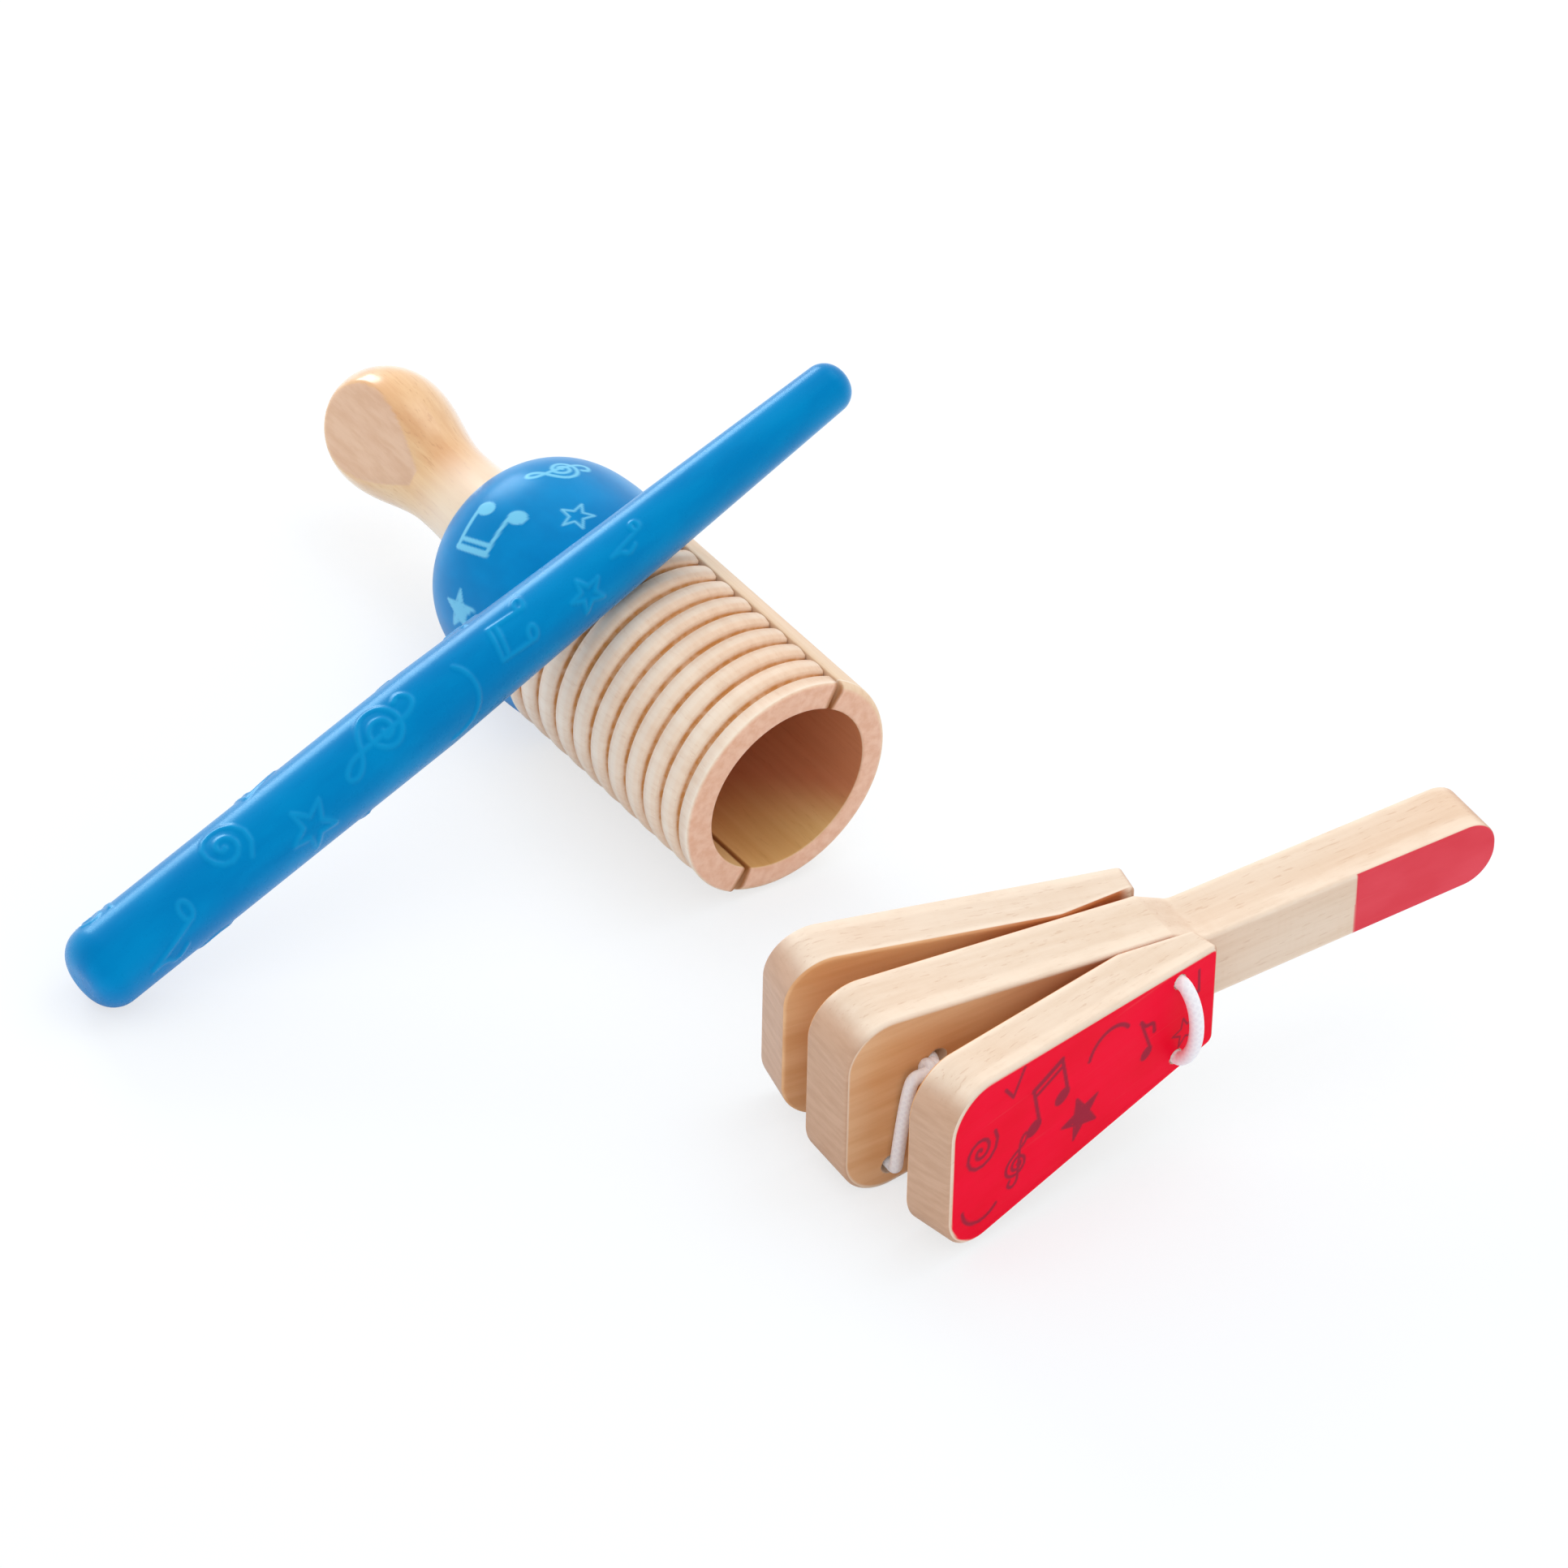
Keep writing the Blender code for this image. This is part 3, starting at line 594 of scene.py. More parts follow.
def ribbed_radius(place):
    """The ribbed half's outer radius: a round crest, whose drop is the square of how near
    the groove it is, and a groove whose wall rises from its round floor to the crest."""
    number = np.clip(np.round((place - groove_first) / groove_pitch), 0, groove_count - 1)
    off = np.abs(place - groove_first - number * groove_pitch)
    crest = np.clip((off - groove_width / 2) / (groove_pitch / 2 - groove_width / 2), 0, 1)
    wall = np.clip((off / (groove_width / 2) - 0.24) / 0.76, 0, 1)
    rounded_wall = np.where(wall < 0.85, wall ** 1.15, wall ** 1.15 - 0.05 * ((wall - 0.85) / 0.15) ** 2)
    inner = tube_radius - groove_depth + (groove_depth - crest_drop) * rounded_wall
    return np.where(off < groove_width / 2, inner, tube_radius - crest_drop * (1 - crest) ** 2)


def stations(ribbed):
    """Places along the tube, closer together in the grooves."""
    if not ribbed:
        return ramp(tube_length, 3.0 * MM, 60)
    centres = groove_first + groove_pitch * np.arange(groove_count)
    offsets = np.concatenate([np.linspace(-0.5, 0.5, 17) * groove_width * 1.06,
                              np.linspace(0.58, 1, 9) * groove_pitch - groove_width / 2])
    places = np.unique(np.round((centres[:, None] + offsets).ravel(), 7))
    places = places[(places > 2.0 * MM) & (places < tube_length)]
    return np.concatenate([[tube_length], places[::-1]])


def half_profile(ribbed, mouth_round):
    """Places along the tube and radii, from the cap along the outside to the mouth, round it
    by two quarter circles, and back inside; and whether each lies on the outside."""
    places = stations(ribbed)
    quarter = np.radians(ramp(0, 90, 9))
    keep = places > mouth_round + 0.2 * MM
    outer_radius = ribbed_radius(places[keep]) if ribbed else np.full(keep.sum(), tube_radius)
    mouth_radius = tube_radius - mouth_round * (1 - np.cos(quarter))
    if ribbed:
        mouth_radius -= tube_radius - ribbed_radius(np.array([mouth_round]))[0]
    outer_place = np.concatenate([places[keep], mouth_round * (1 - np.sin(quarter))])
    straight = len(outer_place) - len(quarter)
    inner_place = np.concatenate([ramp(tube_length, bore_round, straight),
                                  bore_round * (1 - np.sin(quarter))])
    inner_radius = np.concatenate([np.full(straight, bore_radius),
                                   bore_radius + bore_round * (1 - np.cos(quarter))])
    heights = np.concatenate([outer_place, inner_place[::-1]])
    radii = np.concatenate([outer_radius, mouth_radius, inner_radius[::-1]])
    return heights, radii, np.arange(len(heights)) < len(outer_place)


print("stations along the ribs:", len(stations(True)), "and along the smooth half:", len(stations(False)))

# %% Skins of the half shells


def cut_to_cut(heights, radii, is_outer, flared, steps):
    """Angles of each row from one saw cut to the other, and how far the cut's rounded edges
    draw in. A cut lies half a gap from the middle plane, so its angle is the arcsine of half
    the gap over the radius."""
    cut_steps = cut_round * (1 - np.cos(np.radians([0, 25, 48, 70, 90])))
    between = np.linspace(0, 1, steps)[1:-1]
    gap = np.where(is_outer, seam_gap + (mouth_gap - seam_gap) * flared, split_gap)
    start = np.arcsin((gap[:, None] / 2 + cut_steps) / radii[:, None])
    low, high = start[:, -1:], np.pi - start[:, -1:]
    angle = np.concatenate([start, low + (high - low) * between, np.pi - start[:, ::-1]], 1)
    draw_in = cut_round - np.sqrt(np.clip(cut_round ** 2 - (cut_round - cut_steps) ** 2, 0, None))
    draw_in = np.concatenate([draw_in, np.zeros(len(between)), draw_in[::-1]])
    return angle, draw_in * np.clip((tube_length - heights) / (1.5 * MM), 0, 1)[:, None]


def shell_marks(ribbed, mouth_round, is_outer, flared, radii, height, radius, angle):
    """Where the wood is worn and painted with a highlight, where grooves and the saw cut take painted
    shade, where it is sawn across its grain, and where it lies inside the bore.
    """
    heights = height[:, 0]
    # The mouth's outer edge is paler from wear; the crest tops are paler, partly from wear and partly as a
    # painted highlight.
    wear_and_highlight = np.exp(-((heights - mouth_round * 0.8) / (0.35 * MM)) ** 2) * is_outer
    if ribbed:
        wear_and_highlight = np.maximum(wear_and_highlight, eased((radii - tube_radius + 0.3 * MM) / (0.3 * MM)) * is_outer * 0.7)
    # The groove mark says where painted shade darkens the grooves.
    groove = eased((tube_radius - crest_drop - radii - 0.5 * MM) / (0.4 * MM)) * is_outer * ribbed
    # The saw cut is a dark joint, darkened further as painted shade in the grooves and at the opened mouth.
    cut_darkening = np.where(is_outer, np.maximum(np.maximum(groove, flared), 0.1), 1)
    from_cut = (np.minimum(angle, np.pi - angle) - angle[:, :1]) * radius
    sawn = eased(1.3 - from_cut / ((0.6 + 1.4 * groove[:, None]) * MM)) * cut_darkening[:, None]
    bore = ~is_outer * eased((heights - 0.1 * MM) / (0.4 * MM))
    end_grain = eased(1 - heights / (0.45 * MM)) * (radii > bore_radius + 0.1 * MM)
    rows = {"edge": wear_and_highlight, "groove": groove, "bore": bore, "endgrain": end_grain}
    marks = {label: np.repeat(row[:, None], angle.shape[1], 1) for label, row in rows.items()}
    return {"grain": turned_grain(height, radius, angle), "sawn": sawn, **marks}


def make_half_shell(name, ribbed, mouth_round):
    """The profile's rows by the angles round the tube, closed along each saw cut by a strip
    that joins every outside point to the inside point across from it."""
    heights, radii, is_outer = half_profile(ribbed, mouth_round)
    flared = np.exp(-(heights / mouth_flare) ** 2)
    angle, draw_in = cut_to_cut(heights, radii, is_outer, flared, 92 if ribbed else 110)
    radius = radii[:, None] - np.where(is_outer, 1, -1)[:, None] * draw_in
    height = np.repeat(heights[:, None], angle.shape[1], 1)
    turn = split_roll if ribbed else split_roll + np.pi
    points = lathe(open_end, along_x, down, radius, height, angle + turn)
    rows, columns = angle.shape
    pair = np.arange(is_outer.sum() - 1)
    strip = np.stack([pair, pair + 1, rows - 2 - pair, rows - 1 - pair], 1) * columns
    faces = np.concatenate([grid_faces(rows, columns, wrap_rows=True), strip, strip + columns - 1])
    marks = shell_marks(ribbed, mouth_round, is_outer, flared, radii, height, radius, angle)
    return make_piece(name, points, faces, marks, sharp=50)


def shell_material(name, pale, dark):
    """Bare wood: peach on the end grain, and orange brown in the grooves as painted shade. The bore has
    painted light and shade: golden low down and near the mouth, and red brown higher and deeper. The saw
    cut is a dark joint, darkened further as painted shade where the grooves and the mouth meet it."""
    material, tree, shader, colour, place = wood_material(name, pale, dark, bands=0.12, flecks=0.12)
    sawdust = patches(tree, place, (260, 420, 420), 3)
    peach = blended(tree, sawdust, srgb(230, 178, 148), srgb(240, 196, 170))
    tinted = blended(tree, mark(tree, "endgrain"), colour, peach)
    # Painted shade: the grooves are darker orange brown.
    groove_shade = calculate(tree, "MULTIPLY", mark(tree, "groove"), scaled(tree, sawdust, 0.5, 0.62), clamp=True)
    darkened = blended(tree, groove_shade, tinted, srgb(204, 142, 80))
    # Painted light and shade in the bore: golden low down and near the mouth, red brown higher and deeper
    # in.
    above_table = add(tree, "ShaderNodeSeparateXYZ", {0: add(tree, "ShaderNodeTexCoord").outputs["Object"]})
    depth = add(tree, "ShaderNodeSeparateXYZ", {0: place})
    higher_or_deeper = scaled(tree, depth.outputs["X"], 0.4, above_table.outputs["Z"])
    bore_light_and_shade = blended(tree, spread(tree, higher_or_deeper, 0.011, 0.022), srgb(255, 240, 190),
                   srgb(226, 170, 144))
    inner = blended(tree, mark(tree, "bore"), darkened, bore_light_and_shade, "MULTIPLY")
    # The saw joint is dark brown, partly its own colour and partly painted shade in the grooves and gap.
    cut_darkened = blended(tree, scaled(tree, mark(tree, "sawn"), 0.9), inner, srgb(168, 106, 54))
    wire(tree, shader, {"Base Color": cut_darkened})
    return material


ribbed_wood = shell_material("ribbed_wood", (246, 225, 203), (233, 203, 176))
smooth_wood = shell_material("smooth_wood", (241, 215, 185), (229, 195, 158))
dress(make_half_shell("ribbed_shell", True, 0.9 * MM), ribbed_wood, "guiro", "ribbed_wood",
      "ribbed_half_shell")
dress(make_half_shell("smooth_shell", False, 2.4 * MM), smooth_wood, "guiro", "smooth_wood",
      "smooth_half_shell")

# %% [markdown]
# ## The cap
# The cap is a turned wooden plug under thick satin blue lacquer, with paler signs printed
# on its dome. Its skin is a turned profile. The signs are laid out on the unrolled dome,
# with the way round and the way along measured in millimetres, and stand proud by a hair.

# %% Cap
cap_radius, cap_rim_radius = 28.0 * MM, 27.3 * MM
cap_rim, cap_widest = 67.8 * MM, 80.3 * MM
dome_length, side_power, end_power = 31.0 * MM, 2.3, 3.0
land_radius, tenon_hole = 12.3 * MM, 6.3 * MM
spigot_radius, spigot_end = 20.5 * MM, 53.5 * MM
land_angle = math.acos((land_radius / cap_radius) ** (side_power / 2))
land = cap_widest + dome_length * math.sin(land_angle) ** (2 / end_power)
rim_round, land_round, spigot_round, tenon_room = 0.5 * MM, 0.6 * MM, 1.2 * MM, 14.0 * MM
print_height, cap_steps = 0.05 * MM, 460
cap_signs = [("pair", 4, 22, 15, 100), ("clef", 26, 24, 12, 80), ("full_star", -16, 18, 10, 0),
             ("note", -36, 24, 14, -8), ("scroll", 52, 18, 11, 0), ("star", 20, 8, 8, 20),
             ("arc", -56, 20, 13, 15), ("note", 72, 22, 14, 12), ("pair", -76, 22, 14, -12)]


def rounded_corner(radius, height, size, start, count=6):
    """A quarter circle that rounds one corner of a profile, clockwise from its start angle."""
    return arc(radius, height, size, start, start - 90, count)


def make_cap():
    """The dome's radius and height are a superellipse: a power of the cosine and of the
    sine of one angle. The rim draws in by the square of the way from the widest ring."""
    angle = land_angle * (1 - ramp(0, 1, 128) ** 1.15)
    dome = np.stack([cap_radius * np.cos(angle) ** (2 / side_power),
                     cap_widest + dome_length * np.sin(angle) ** (2 / end_power)], 1)
    share = ramp(0, 1, 36)[1:-1]
    band = np.stack([cap_radius - (cap_radius - cap_rim_radius) * share ** 2,
                     cap_widest - (cap_widest - cap_rim - rim_round) * share], 1)
    rim = rounded_corner(cap_rim_radius - rim_round, cap_rim + rim_round, rim_round, 0)
    floor = land - tenon_room
    profile = np.concatenate([
        [(0, floor), (tenon_hole, floor), (tenon_hole, land), (land_radius - land_round, land)],
        dome, band, rim,
        [(spigot_radius, cap_rim), (spigot_radius, spigot_end + spigot_round),
         (spigot_radius - spigot_round, spigot_end), (0, spigot_end)]])
    radius, height, angles = turned_grid(profile, cap_steps)
    toward_camera = math.atan2(1.0, -0.75)
    round_way = ((angles - toward_camera + np.pi) % math.tau - np.pi) * cap_radius
    unrolled = np.stack([round_way, height - cap_rim], -1).reshape(-1, 2) / MM
    printed = ink(unrolled, cap_signs, 0.5).reshape(radius.shape)
    printed *= (height > cap_rim + MM) & (radius > land_radius + 0.5 * MM)
    lacquer = ((radius > tenon_hole + 0.1 * MM) & (height > cap_rim + 0.05 * MM)).astype(float)
    points = lathe(open_end, along_x, down, radius + printed * print_height, height, angles)
    edge = np.clip(1 - np.abs(height - cap_rim) / MM, 0, 1) * lacquer
    return make_piece("blue_cap", points, grid_faces(*radius.shape, wrap_columns=True),
                      {"printed": printed, "lacquer": lacquer, "edge": edge,
                       "grain": turned_grain(height, radius, angles)})


def cap_material():
    """Lacquer over wood: the base is blue, paler in the signs and rubbed along the rim, and
    its skin is faintly uneven. The plug inside the tube is bare wood."""
    material, tree, shader, wood, place = wood_material("blue_lacquer", (226, 184, 150), (200, 150, 112))
    blue = mottled(tree, place, (60, 90, 90), 3, (0, 124, 188), (0, 136, 200))
    signed = blended(tree, mark(tree, "printed"), blue, srgb(116, 196, 230))
    scuffed = blended(tree, scaled(tree, mark(tree, "edge"), 0.35), signed, srgb(120, 190, 222))
    skin = mark(tree, "lacquer")
    orange_peel = stretched_noise(tree, place, (420, 420, 420), 2)
    normal = bumped(tree, orange_peel, 0.06, 0.0002)
    rough = scaled(tree, calculate(tree, "SUBTRACT", 1.0, skin), 0.35, 0.3)
    wire(tree, shader, {"Base Color": blended(tree, skin, wood, scuffed), "Roughness": rough,
                        "Normal": normal, "Specular IOR Level": 0.24,
                        "Specular Tint": (0.04, 0.66, 1.0, 1.0)})
    return material


dress(make_cap(), cap_material(), "guiro", "blue_lacquer", "end_cap")

# %% [markdown]
# ## The guiro's handle
# The handle is one turned piece of amber hardwood under clear coat: a waist, a full grip and
# a round end, with one flat milled along the grip. The turned radius and the reach to the
# flat are joined by a soft minimum, which leaves the flat's edge gently rounded, as sanding
# does.

# %% Handle of the guiro
seat = land + 0.3 * MM
flat_roll, flat_reach, flat_round = math.radians(22.5), 10.3 * MM, 0.35 * MM
neck, bulge, end_length = 16.5 * MM, 41.0 * MM, 16.8 * MM
grip_radius, waist_radius, foot_flare = 14.8 * MM, 10.4 * MM, 1.1 * MM
foot_radius, foot_round = 11.5 * MM, 0.3 * MM
tenon_radius, tenon_length, tenon_round = 6.0 * MM, 14.0 * MM, 0.6 * MM


def handle_profile():
    """An ellipse at the end, a cosine swell from the grip to the waist, a parabola from the
    waist to the foot, a rounded foot and the tenon."""
    angle = np.radians(ramp(0, 90, 34))
    end = np.stack([grip_radius * np.sin(angle), bulge + end_length * np.cos(angle)], 1)
    share = 1 - np.linspace(0, 1, 40)[1:]
    swell = (grip_radius - waist_radius) * (1 - np.cos(np.pi * share)) / 2
    grip = np.stack([waist_radius + swell, neck + (bulge - neck) * share], 1)
    share = np.linspace(0, 1, 22)[1:-1]
    base = np.stack([waist_radius + foot_flare * share ** 2, neck * (1 - share)], 1)
    foot = rounded_corner(foot_radius - foot_round, foot_round, foot_round, 0, 5)
    tenon = [(tenon_radius, 0), (tenon_radius, tenon_round - tenon_length),
             (tenon_radius - tenon_round, -tenon_length), (0, -tenon_length)]
    return np.concatenate([end, grip, base, foot, tenon])


def make_handle():
    """The turned radius, cut where it passes the flat: the reach to the flat is its distance
    over the cosine from it, and the two are joined by the soft minimum
    -r log(exp(-radius / r) + exp(-reach / r)) with r the rounding."""
    radius, height, angles = turned_grid(handle_profile(), 160)
    facing = np.cos(angles - np.pi / 2 - flat_roll)
    reach = np.where(facing > 0.05, flat_reach / np.maximum(facing, 0.05), 1.0)
    softened = -flat_round * np.logaddexp(-radius / flat_round, -reach / flat_round)
    on_grip = eased((height - neck) / (4 * MM))
    flattened = radius + (np.minimum(softened, radius) - radius) * on_grip
    cut = np.where(reach < radius + 6 * flat_round, flattened, radius)
    points = lathe(open_end + seat * along_x, along_x, down, cut, height, angles)
    on_flat = eased((radius - reach) / (0.25 * MM)) * (on_grip > 0.99)
    edge = np.exp(-np.abs(reach - radius) / (0.3 * MM)) * (radius > foot_radius) * 0.6
    # The neck mark says where a painted highlight pales the wood, towards the neck.
    return make_piece("amber_handle", points, grid_faces(*radius.shape, wrap_columns=True),
                      {"edge": edge, "endgrain": on_flat, "neck": eased((20 * MM - height) / (14 * MM)),
                       "grain": turned_grain(height, cut, angles)})


def handle_material():
    """Amber wood under a clear coat that brings up its grain, with a painted highlight that makes it paler
    towards the neck. The flat is sanded and bare."""
    material, tree, shader, colour, place = wood_material(
        "amber_wood", (239, 202, 152), (220, 170, 118), bands=0.3, flecks=0.25, wear_and_highlight=(248, 222, 192),
        relief=0.08)
    on_flat = mark(tree, "endgrain")
    sanded = mottled(tree, place, (120, 500, 500), 3, (216, 175, 146), (227, 190, 163))
    # Painted highlight: paler wood towards the neck.
    colour = blended(tree, scaled(tree, mark(tree, "neck"), 0.6), colour, srgb(251, 234, 212))
    colour = blended(tree, scaled(tree, on_flat, 0.85), colour, sanded)
    wire(tree, shader, {"Base Color": colour, "Roughness": scaled(tree, on_flat, 0.25, 0.34),
                        "Coat Weight": calculate(tree, "SUBTRACT", 1.0, on_flat), "Coat Roughness": 0.2})
    return material


dress(make_handle(), handle_material(), "guiro", "oiled_wood", "guiro_handle")

# %% [markdown]
# ## The scraper
# The scraper is a moulded stick: straight for its thick half, then tapering to a round tip.
# The outlines of notes, scrolls and stars stand out of its skin as thin ridges. They are
# real relief: the radius grows where a point is inked.

# %% Scraper
stick_length, stick_radius, tip_radius, taper_start = 225.5 * MM, 9.8 * MM, 5.85 * MM, 100.0 * MM
butt_round, tip_round, relief_height = 6.5 * MM, 5.0 * MM, 0.3 * MM
stick_yaw, crossing, contact_along = math.radians(-84.7), 52.9 * MM, 157.0 * MM


def stick_radius_at(distance):
    """The straight part's radius, less the taper past its start."""
    return stick_radius - (stick_radius - tip_radius) * np.clip(
        (distance - taper_start) / (stick_length - taper_start), 0, 1)


def stick_pose():
    """The thick end's centre and direction: the pitch at which the shank touches the ribs
    and the thick end's rim meets the table, found by halving."""
    reach = tube_radius + 0.3 * MM + stick_radius_at(contact_along)
    under = open_end + crossing * along_x
    low, high = 0.0, np.pi / 3
    for _ in range(40):
        pitch = (low + high) / 2
        direction = pointing(stick_yaw, pitch)
        butt = under + unit(np.cross(direction, along_x)) * reach - direction * contact_along
        rim = (stick_radius - butt_round) * math.cos(pitch) + butt_round
        low, high = (pitch, high) if butt[2] + butt_round * math.sin(pitch) > rim else (low, pitch)
    print("stick leans by", round(math.degrees(pitch), 2), "degrees")
    return butt, direction


stick_butt, stick_along = stick_pose()
stick_signs = [("note", 20, 5, 17, 70), ("scroll", 41, -4, 13, 20), ("star", 60, 5, 12, 10),
               ("clef", 83, -2, 19, 80), ("arc", 104, 4, 15, -60), ("pair", 124, -2, 13, 95),
               ("star", 143, 3, 9, 30), ("note", 158, -2, 11, 80), ("scroll", 30, 19, 12, 0),
               ("star", 74, 20, 11, 40), ("note", 98, -20, 14, 110), ("scroll", 10, -15, 11, 0),
               ("pair", 58, -19, 14, 70), ("note", 36, -27, 13, 250), ("star", 118, -17, 9, 0)]


def make_stick():
    """A turned skin with a quarter round at each end, whose radius grows by the relief."""
    quarter = np.radians(ramp(0, 90, 14))
    tip_centre = stick_length - tip_round
    tip_at = stick_radius_at(tip_centre)
    tip = np.stack([tip_at - tip_round * (1 - np.sin(quarter)),
                    tip_centre + tip_round * np.cos(quarter)], 1)
    shank_height = ramp(tip_centre, butt_round, 570)[1:-1]
    shank = np.stack([stick_radius_at(shank_height), shank_height], 1)
    butt = np.stack([stick_radius - butt_round * (1 - np.cos(quarter)),
                     butt_round * (1 - np.sin(quarter))], 1)
    profile = np.concatenate([[(0, stick_length)], tip, shank, butt, [(0, 0)]])
    radius, height, angles = turned_grid(profile, 160)
    toward = unit(eye - stick_butt)
    side = unit(toward - (toward @ stick_along) * stick_along)
    round_way = ((angles + np.pi) % math.tau - np.pi) * stick_radius
    unrolled = np.stack([height, round_way], -1).reshape(-1, 2) / MM
    raised = ink(unrolled, stick_signs, 0.9, line_width=1.1).reshape(radius.shape)
    raised *= (height > butt_round) & (height < stick_length - 2 * tip_round)
    points = lathe(stick_butt, stick_along, side, radius + raised * relief_height, height, angles)
    return make_piece("blue_stick", points, grid_faces(*radius.shape, wrap_columns=True),
                      {"raised": raised, "grain": turned_grain(height, radius, angles)})


def stick_material():
    """Satin moulded plastic: a fine even texture, and paler where the ridges are rubbed."""
    material, tree, shader = new_material("blue_plastic")
    place = mark(tree, "grain", "Vector")
    blue = mottled(tree, place, (40, 120, 120), 3, (0, 120, 186), (0, 132, 196))
    rubbed = blended(tree, scaled(tree, mark(tree, "raised"), 0.3), blue, srgb(30, 164, 220))
    speckle = stretched_noise(tree, place, (500, 500, 500), 2)
    normal = bumped(tree, speckle, 0.01, 0.0001)
    wire(tree, shader, {"Base Color": rubbed, "Roughness": scaled(tree, speckle, 0.06, 0.25),
                        "Normal": normal, "Specular IOR Level": 0.38,
                        "Specular Tint": (0.04, 0.72, 1.0, 1.0)})
    return material


dress(make_stick(), stick_material(), "scraper", "blue_plastic", "scraper_stick")

# %% [markdown]
# ## The clapper's boards
# Each board was sawn from a plank and all its edges rounded over. The skin is a grid: one
# way runs round the outline, and the other runs from the middle line of one face, over the
# rounded edge, and across to the middle line of the other. The rows near the middle shrink
# onto the middle line, so there is no pole on the face.

# %% Board skins


def rounded_outline(corners, spacing=0.42 * MM):
    """Corner points (x, y, radius) joined by straight runs and arcs: the arc's centre lies on
    the corner's bisector, and the whole is resampled at an even spacing."""
    corners = np.array(corners)
    path = []
    for index, (x, y, radius) in enumerate(corners):
        corner = np.array([x, y])
        before = unit(corners[index - 1, :2] - corner)
        after = unit(corners[(index + 1) % len(corners), :2] - corner)
        half = math.acos(np.clip(before @ after, -1, 1)) / 2
        centre = corner + unit(before + after) * radius / math.sin(half)
        first = corner + before * radius / math.tan(half) - centre
        last = corner + after * radius / math.tan(half) - centre
        turn = np.pi - 2 * half
        share = np.linspace(0, 1, max(4, int(turn * radius / spacing * 4)))[:, None]
        spokes = first * np.sin((1 - share) * turn) + last * np.sin(share * turn)
        path.append(centre + spokes / math.sin(turn))
    path = np.concatenate(path)
    closed = np.concatenate([path, path[:1]])
    length = np.concatenate([[0], np.cumsum(np.linalg.norm(np.diff(closed, axis=0), axis=1))])
    even = np.linspace(0, length[-1], int(length[-1] / spacing), endpoint=False)
    return np.stack([np.interp(even, length, closed[:, k]) for k in (0, 1)], 1)


def outline_normals(outline):
    """Outward unit normals of an anticlockwise outline: the tangent turned right."""
    tangent = unit(np.roll(outline, -1, 0) - np.roll(outline, 1, 0))
    return np.stack([tangent[:, 1], -tangent[:, 0]], 1)


board_round, gap_shade_end = 0.8 * MM, 84 * MM
quarter_rows, side_rows = 6, 5


def board_rows(outline, normals, thickness, spine, face_rows):
    """Lines round the board and their depths: from the middle line out over the front face,
    a quarter circle, the side, a quarter circle and back in over the back face."""
    rim = outline - board_round * normals
    quarter = np.radians(ramp(0, 90, quarter_rows + 1))[1:]
    side = board_round + (thickness - 2 * board_round) * np.linspace(0, 1, side_rows + 1)[1:]
    rows = [(spine + (rim - spine) * share, 0.0) for share in ramp(0, 1, face_rows)]
    rows += [(outline - board_round * (1 - np.sin(a)) * normals, board_round * (1 - np.cos(a)))
             for a in quarter]
    rows += [(outline, depth) for depth in side]
    rows += [(outline - board_round * (1 - np.cos(a)) * normals, thickness - board_round * (1 - np.sin(a)))
             for a in quarter]
    rows += [(spine + (rim - spine) * share, thickness) for share in ramp(1, 0, 30)[1:]]
    depth = np.array([deep for _, deep in rows])
    return np.stack([row for row, _ in rows]), np.repeat(depth[:, None], len(outline), 1)


def board_marks(flat, depth, normals, face_width, face_rows, front_gap_shaded):
    """Worn and painted with a highlight along both rounded edges, painted shade on the inner faces where
    two boards face each other, darker deeper in, and end grain on the sides that cross the board."""
    inset = face_width * (1 - ramp(0, 1, face_rows)[:, None])
    back = face_rows + 2 * quarter_rows + side_rows
    edge, inner, end_grain = np.zeros(depth.shape), np.zeros(depth.shape), np.zeros(depth.shape)
    # Paler rounded edges: partly wear, partly a painted highlight.
    edge[:face_rows] = np.clip(1 - inset / (1.1 * MM), 0, 1) * 0.8
    edge[face_rows:face_rows + quarter_rows] = 1.0
    edge[face_rows + quarter_rows] = 0.75
    edge[back - quarter_rows - 1:back] = 1.0
    # Painted shade between the boards: up to where the head ends, lighter at the face's edges and darker
    # deeper in.
    gap_shade = eased((gap_shade_end - flat[..., 0]) / (4 * MM))
    if front_gap_shaded:
        deeper_in_gap = 0.85 + 0.15 * eased((inset - 0.6 * MM) / (9 * MM))
        inner[:face_rows] = deeper_in_gap * eased(0.2 + inset / (0.6 * MM)) * gap_shade[:face_rows]
    inner[back - quarter_rows + 1:] = gap_shade[back - quarter_rows + 1:]
    end_grain[face_rows:back] = eased((np.abs(normals[:, 0]) - 0.35) / 0.5)
    return {"edge": edge, "inner": inner, "endgrain": end_grain, "hole": np.zeros(depth.shape),
            "grain": np.stack([flat[..., 0], depth, flat[..., 1]], -1)}


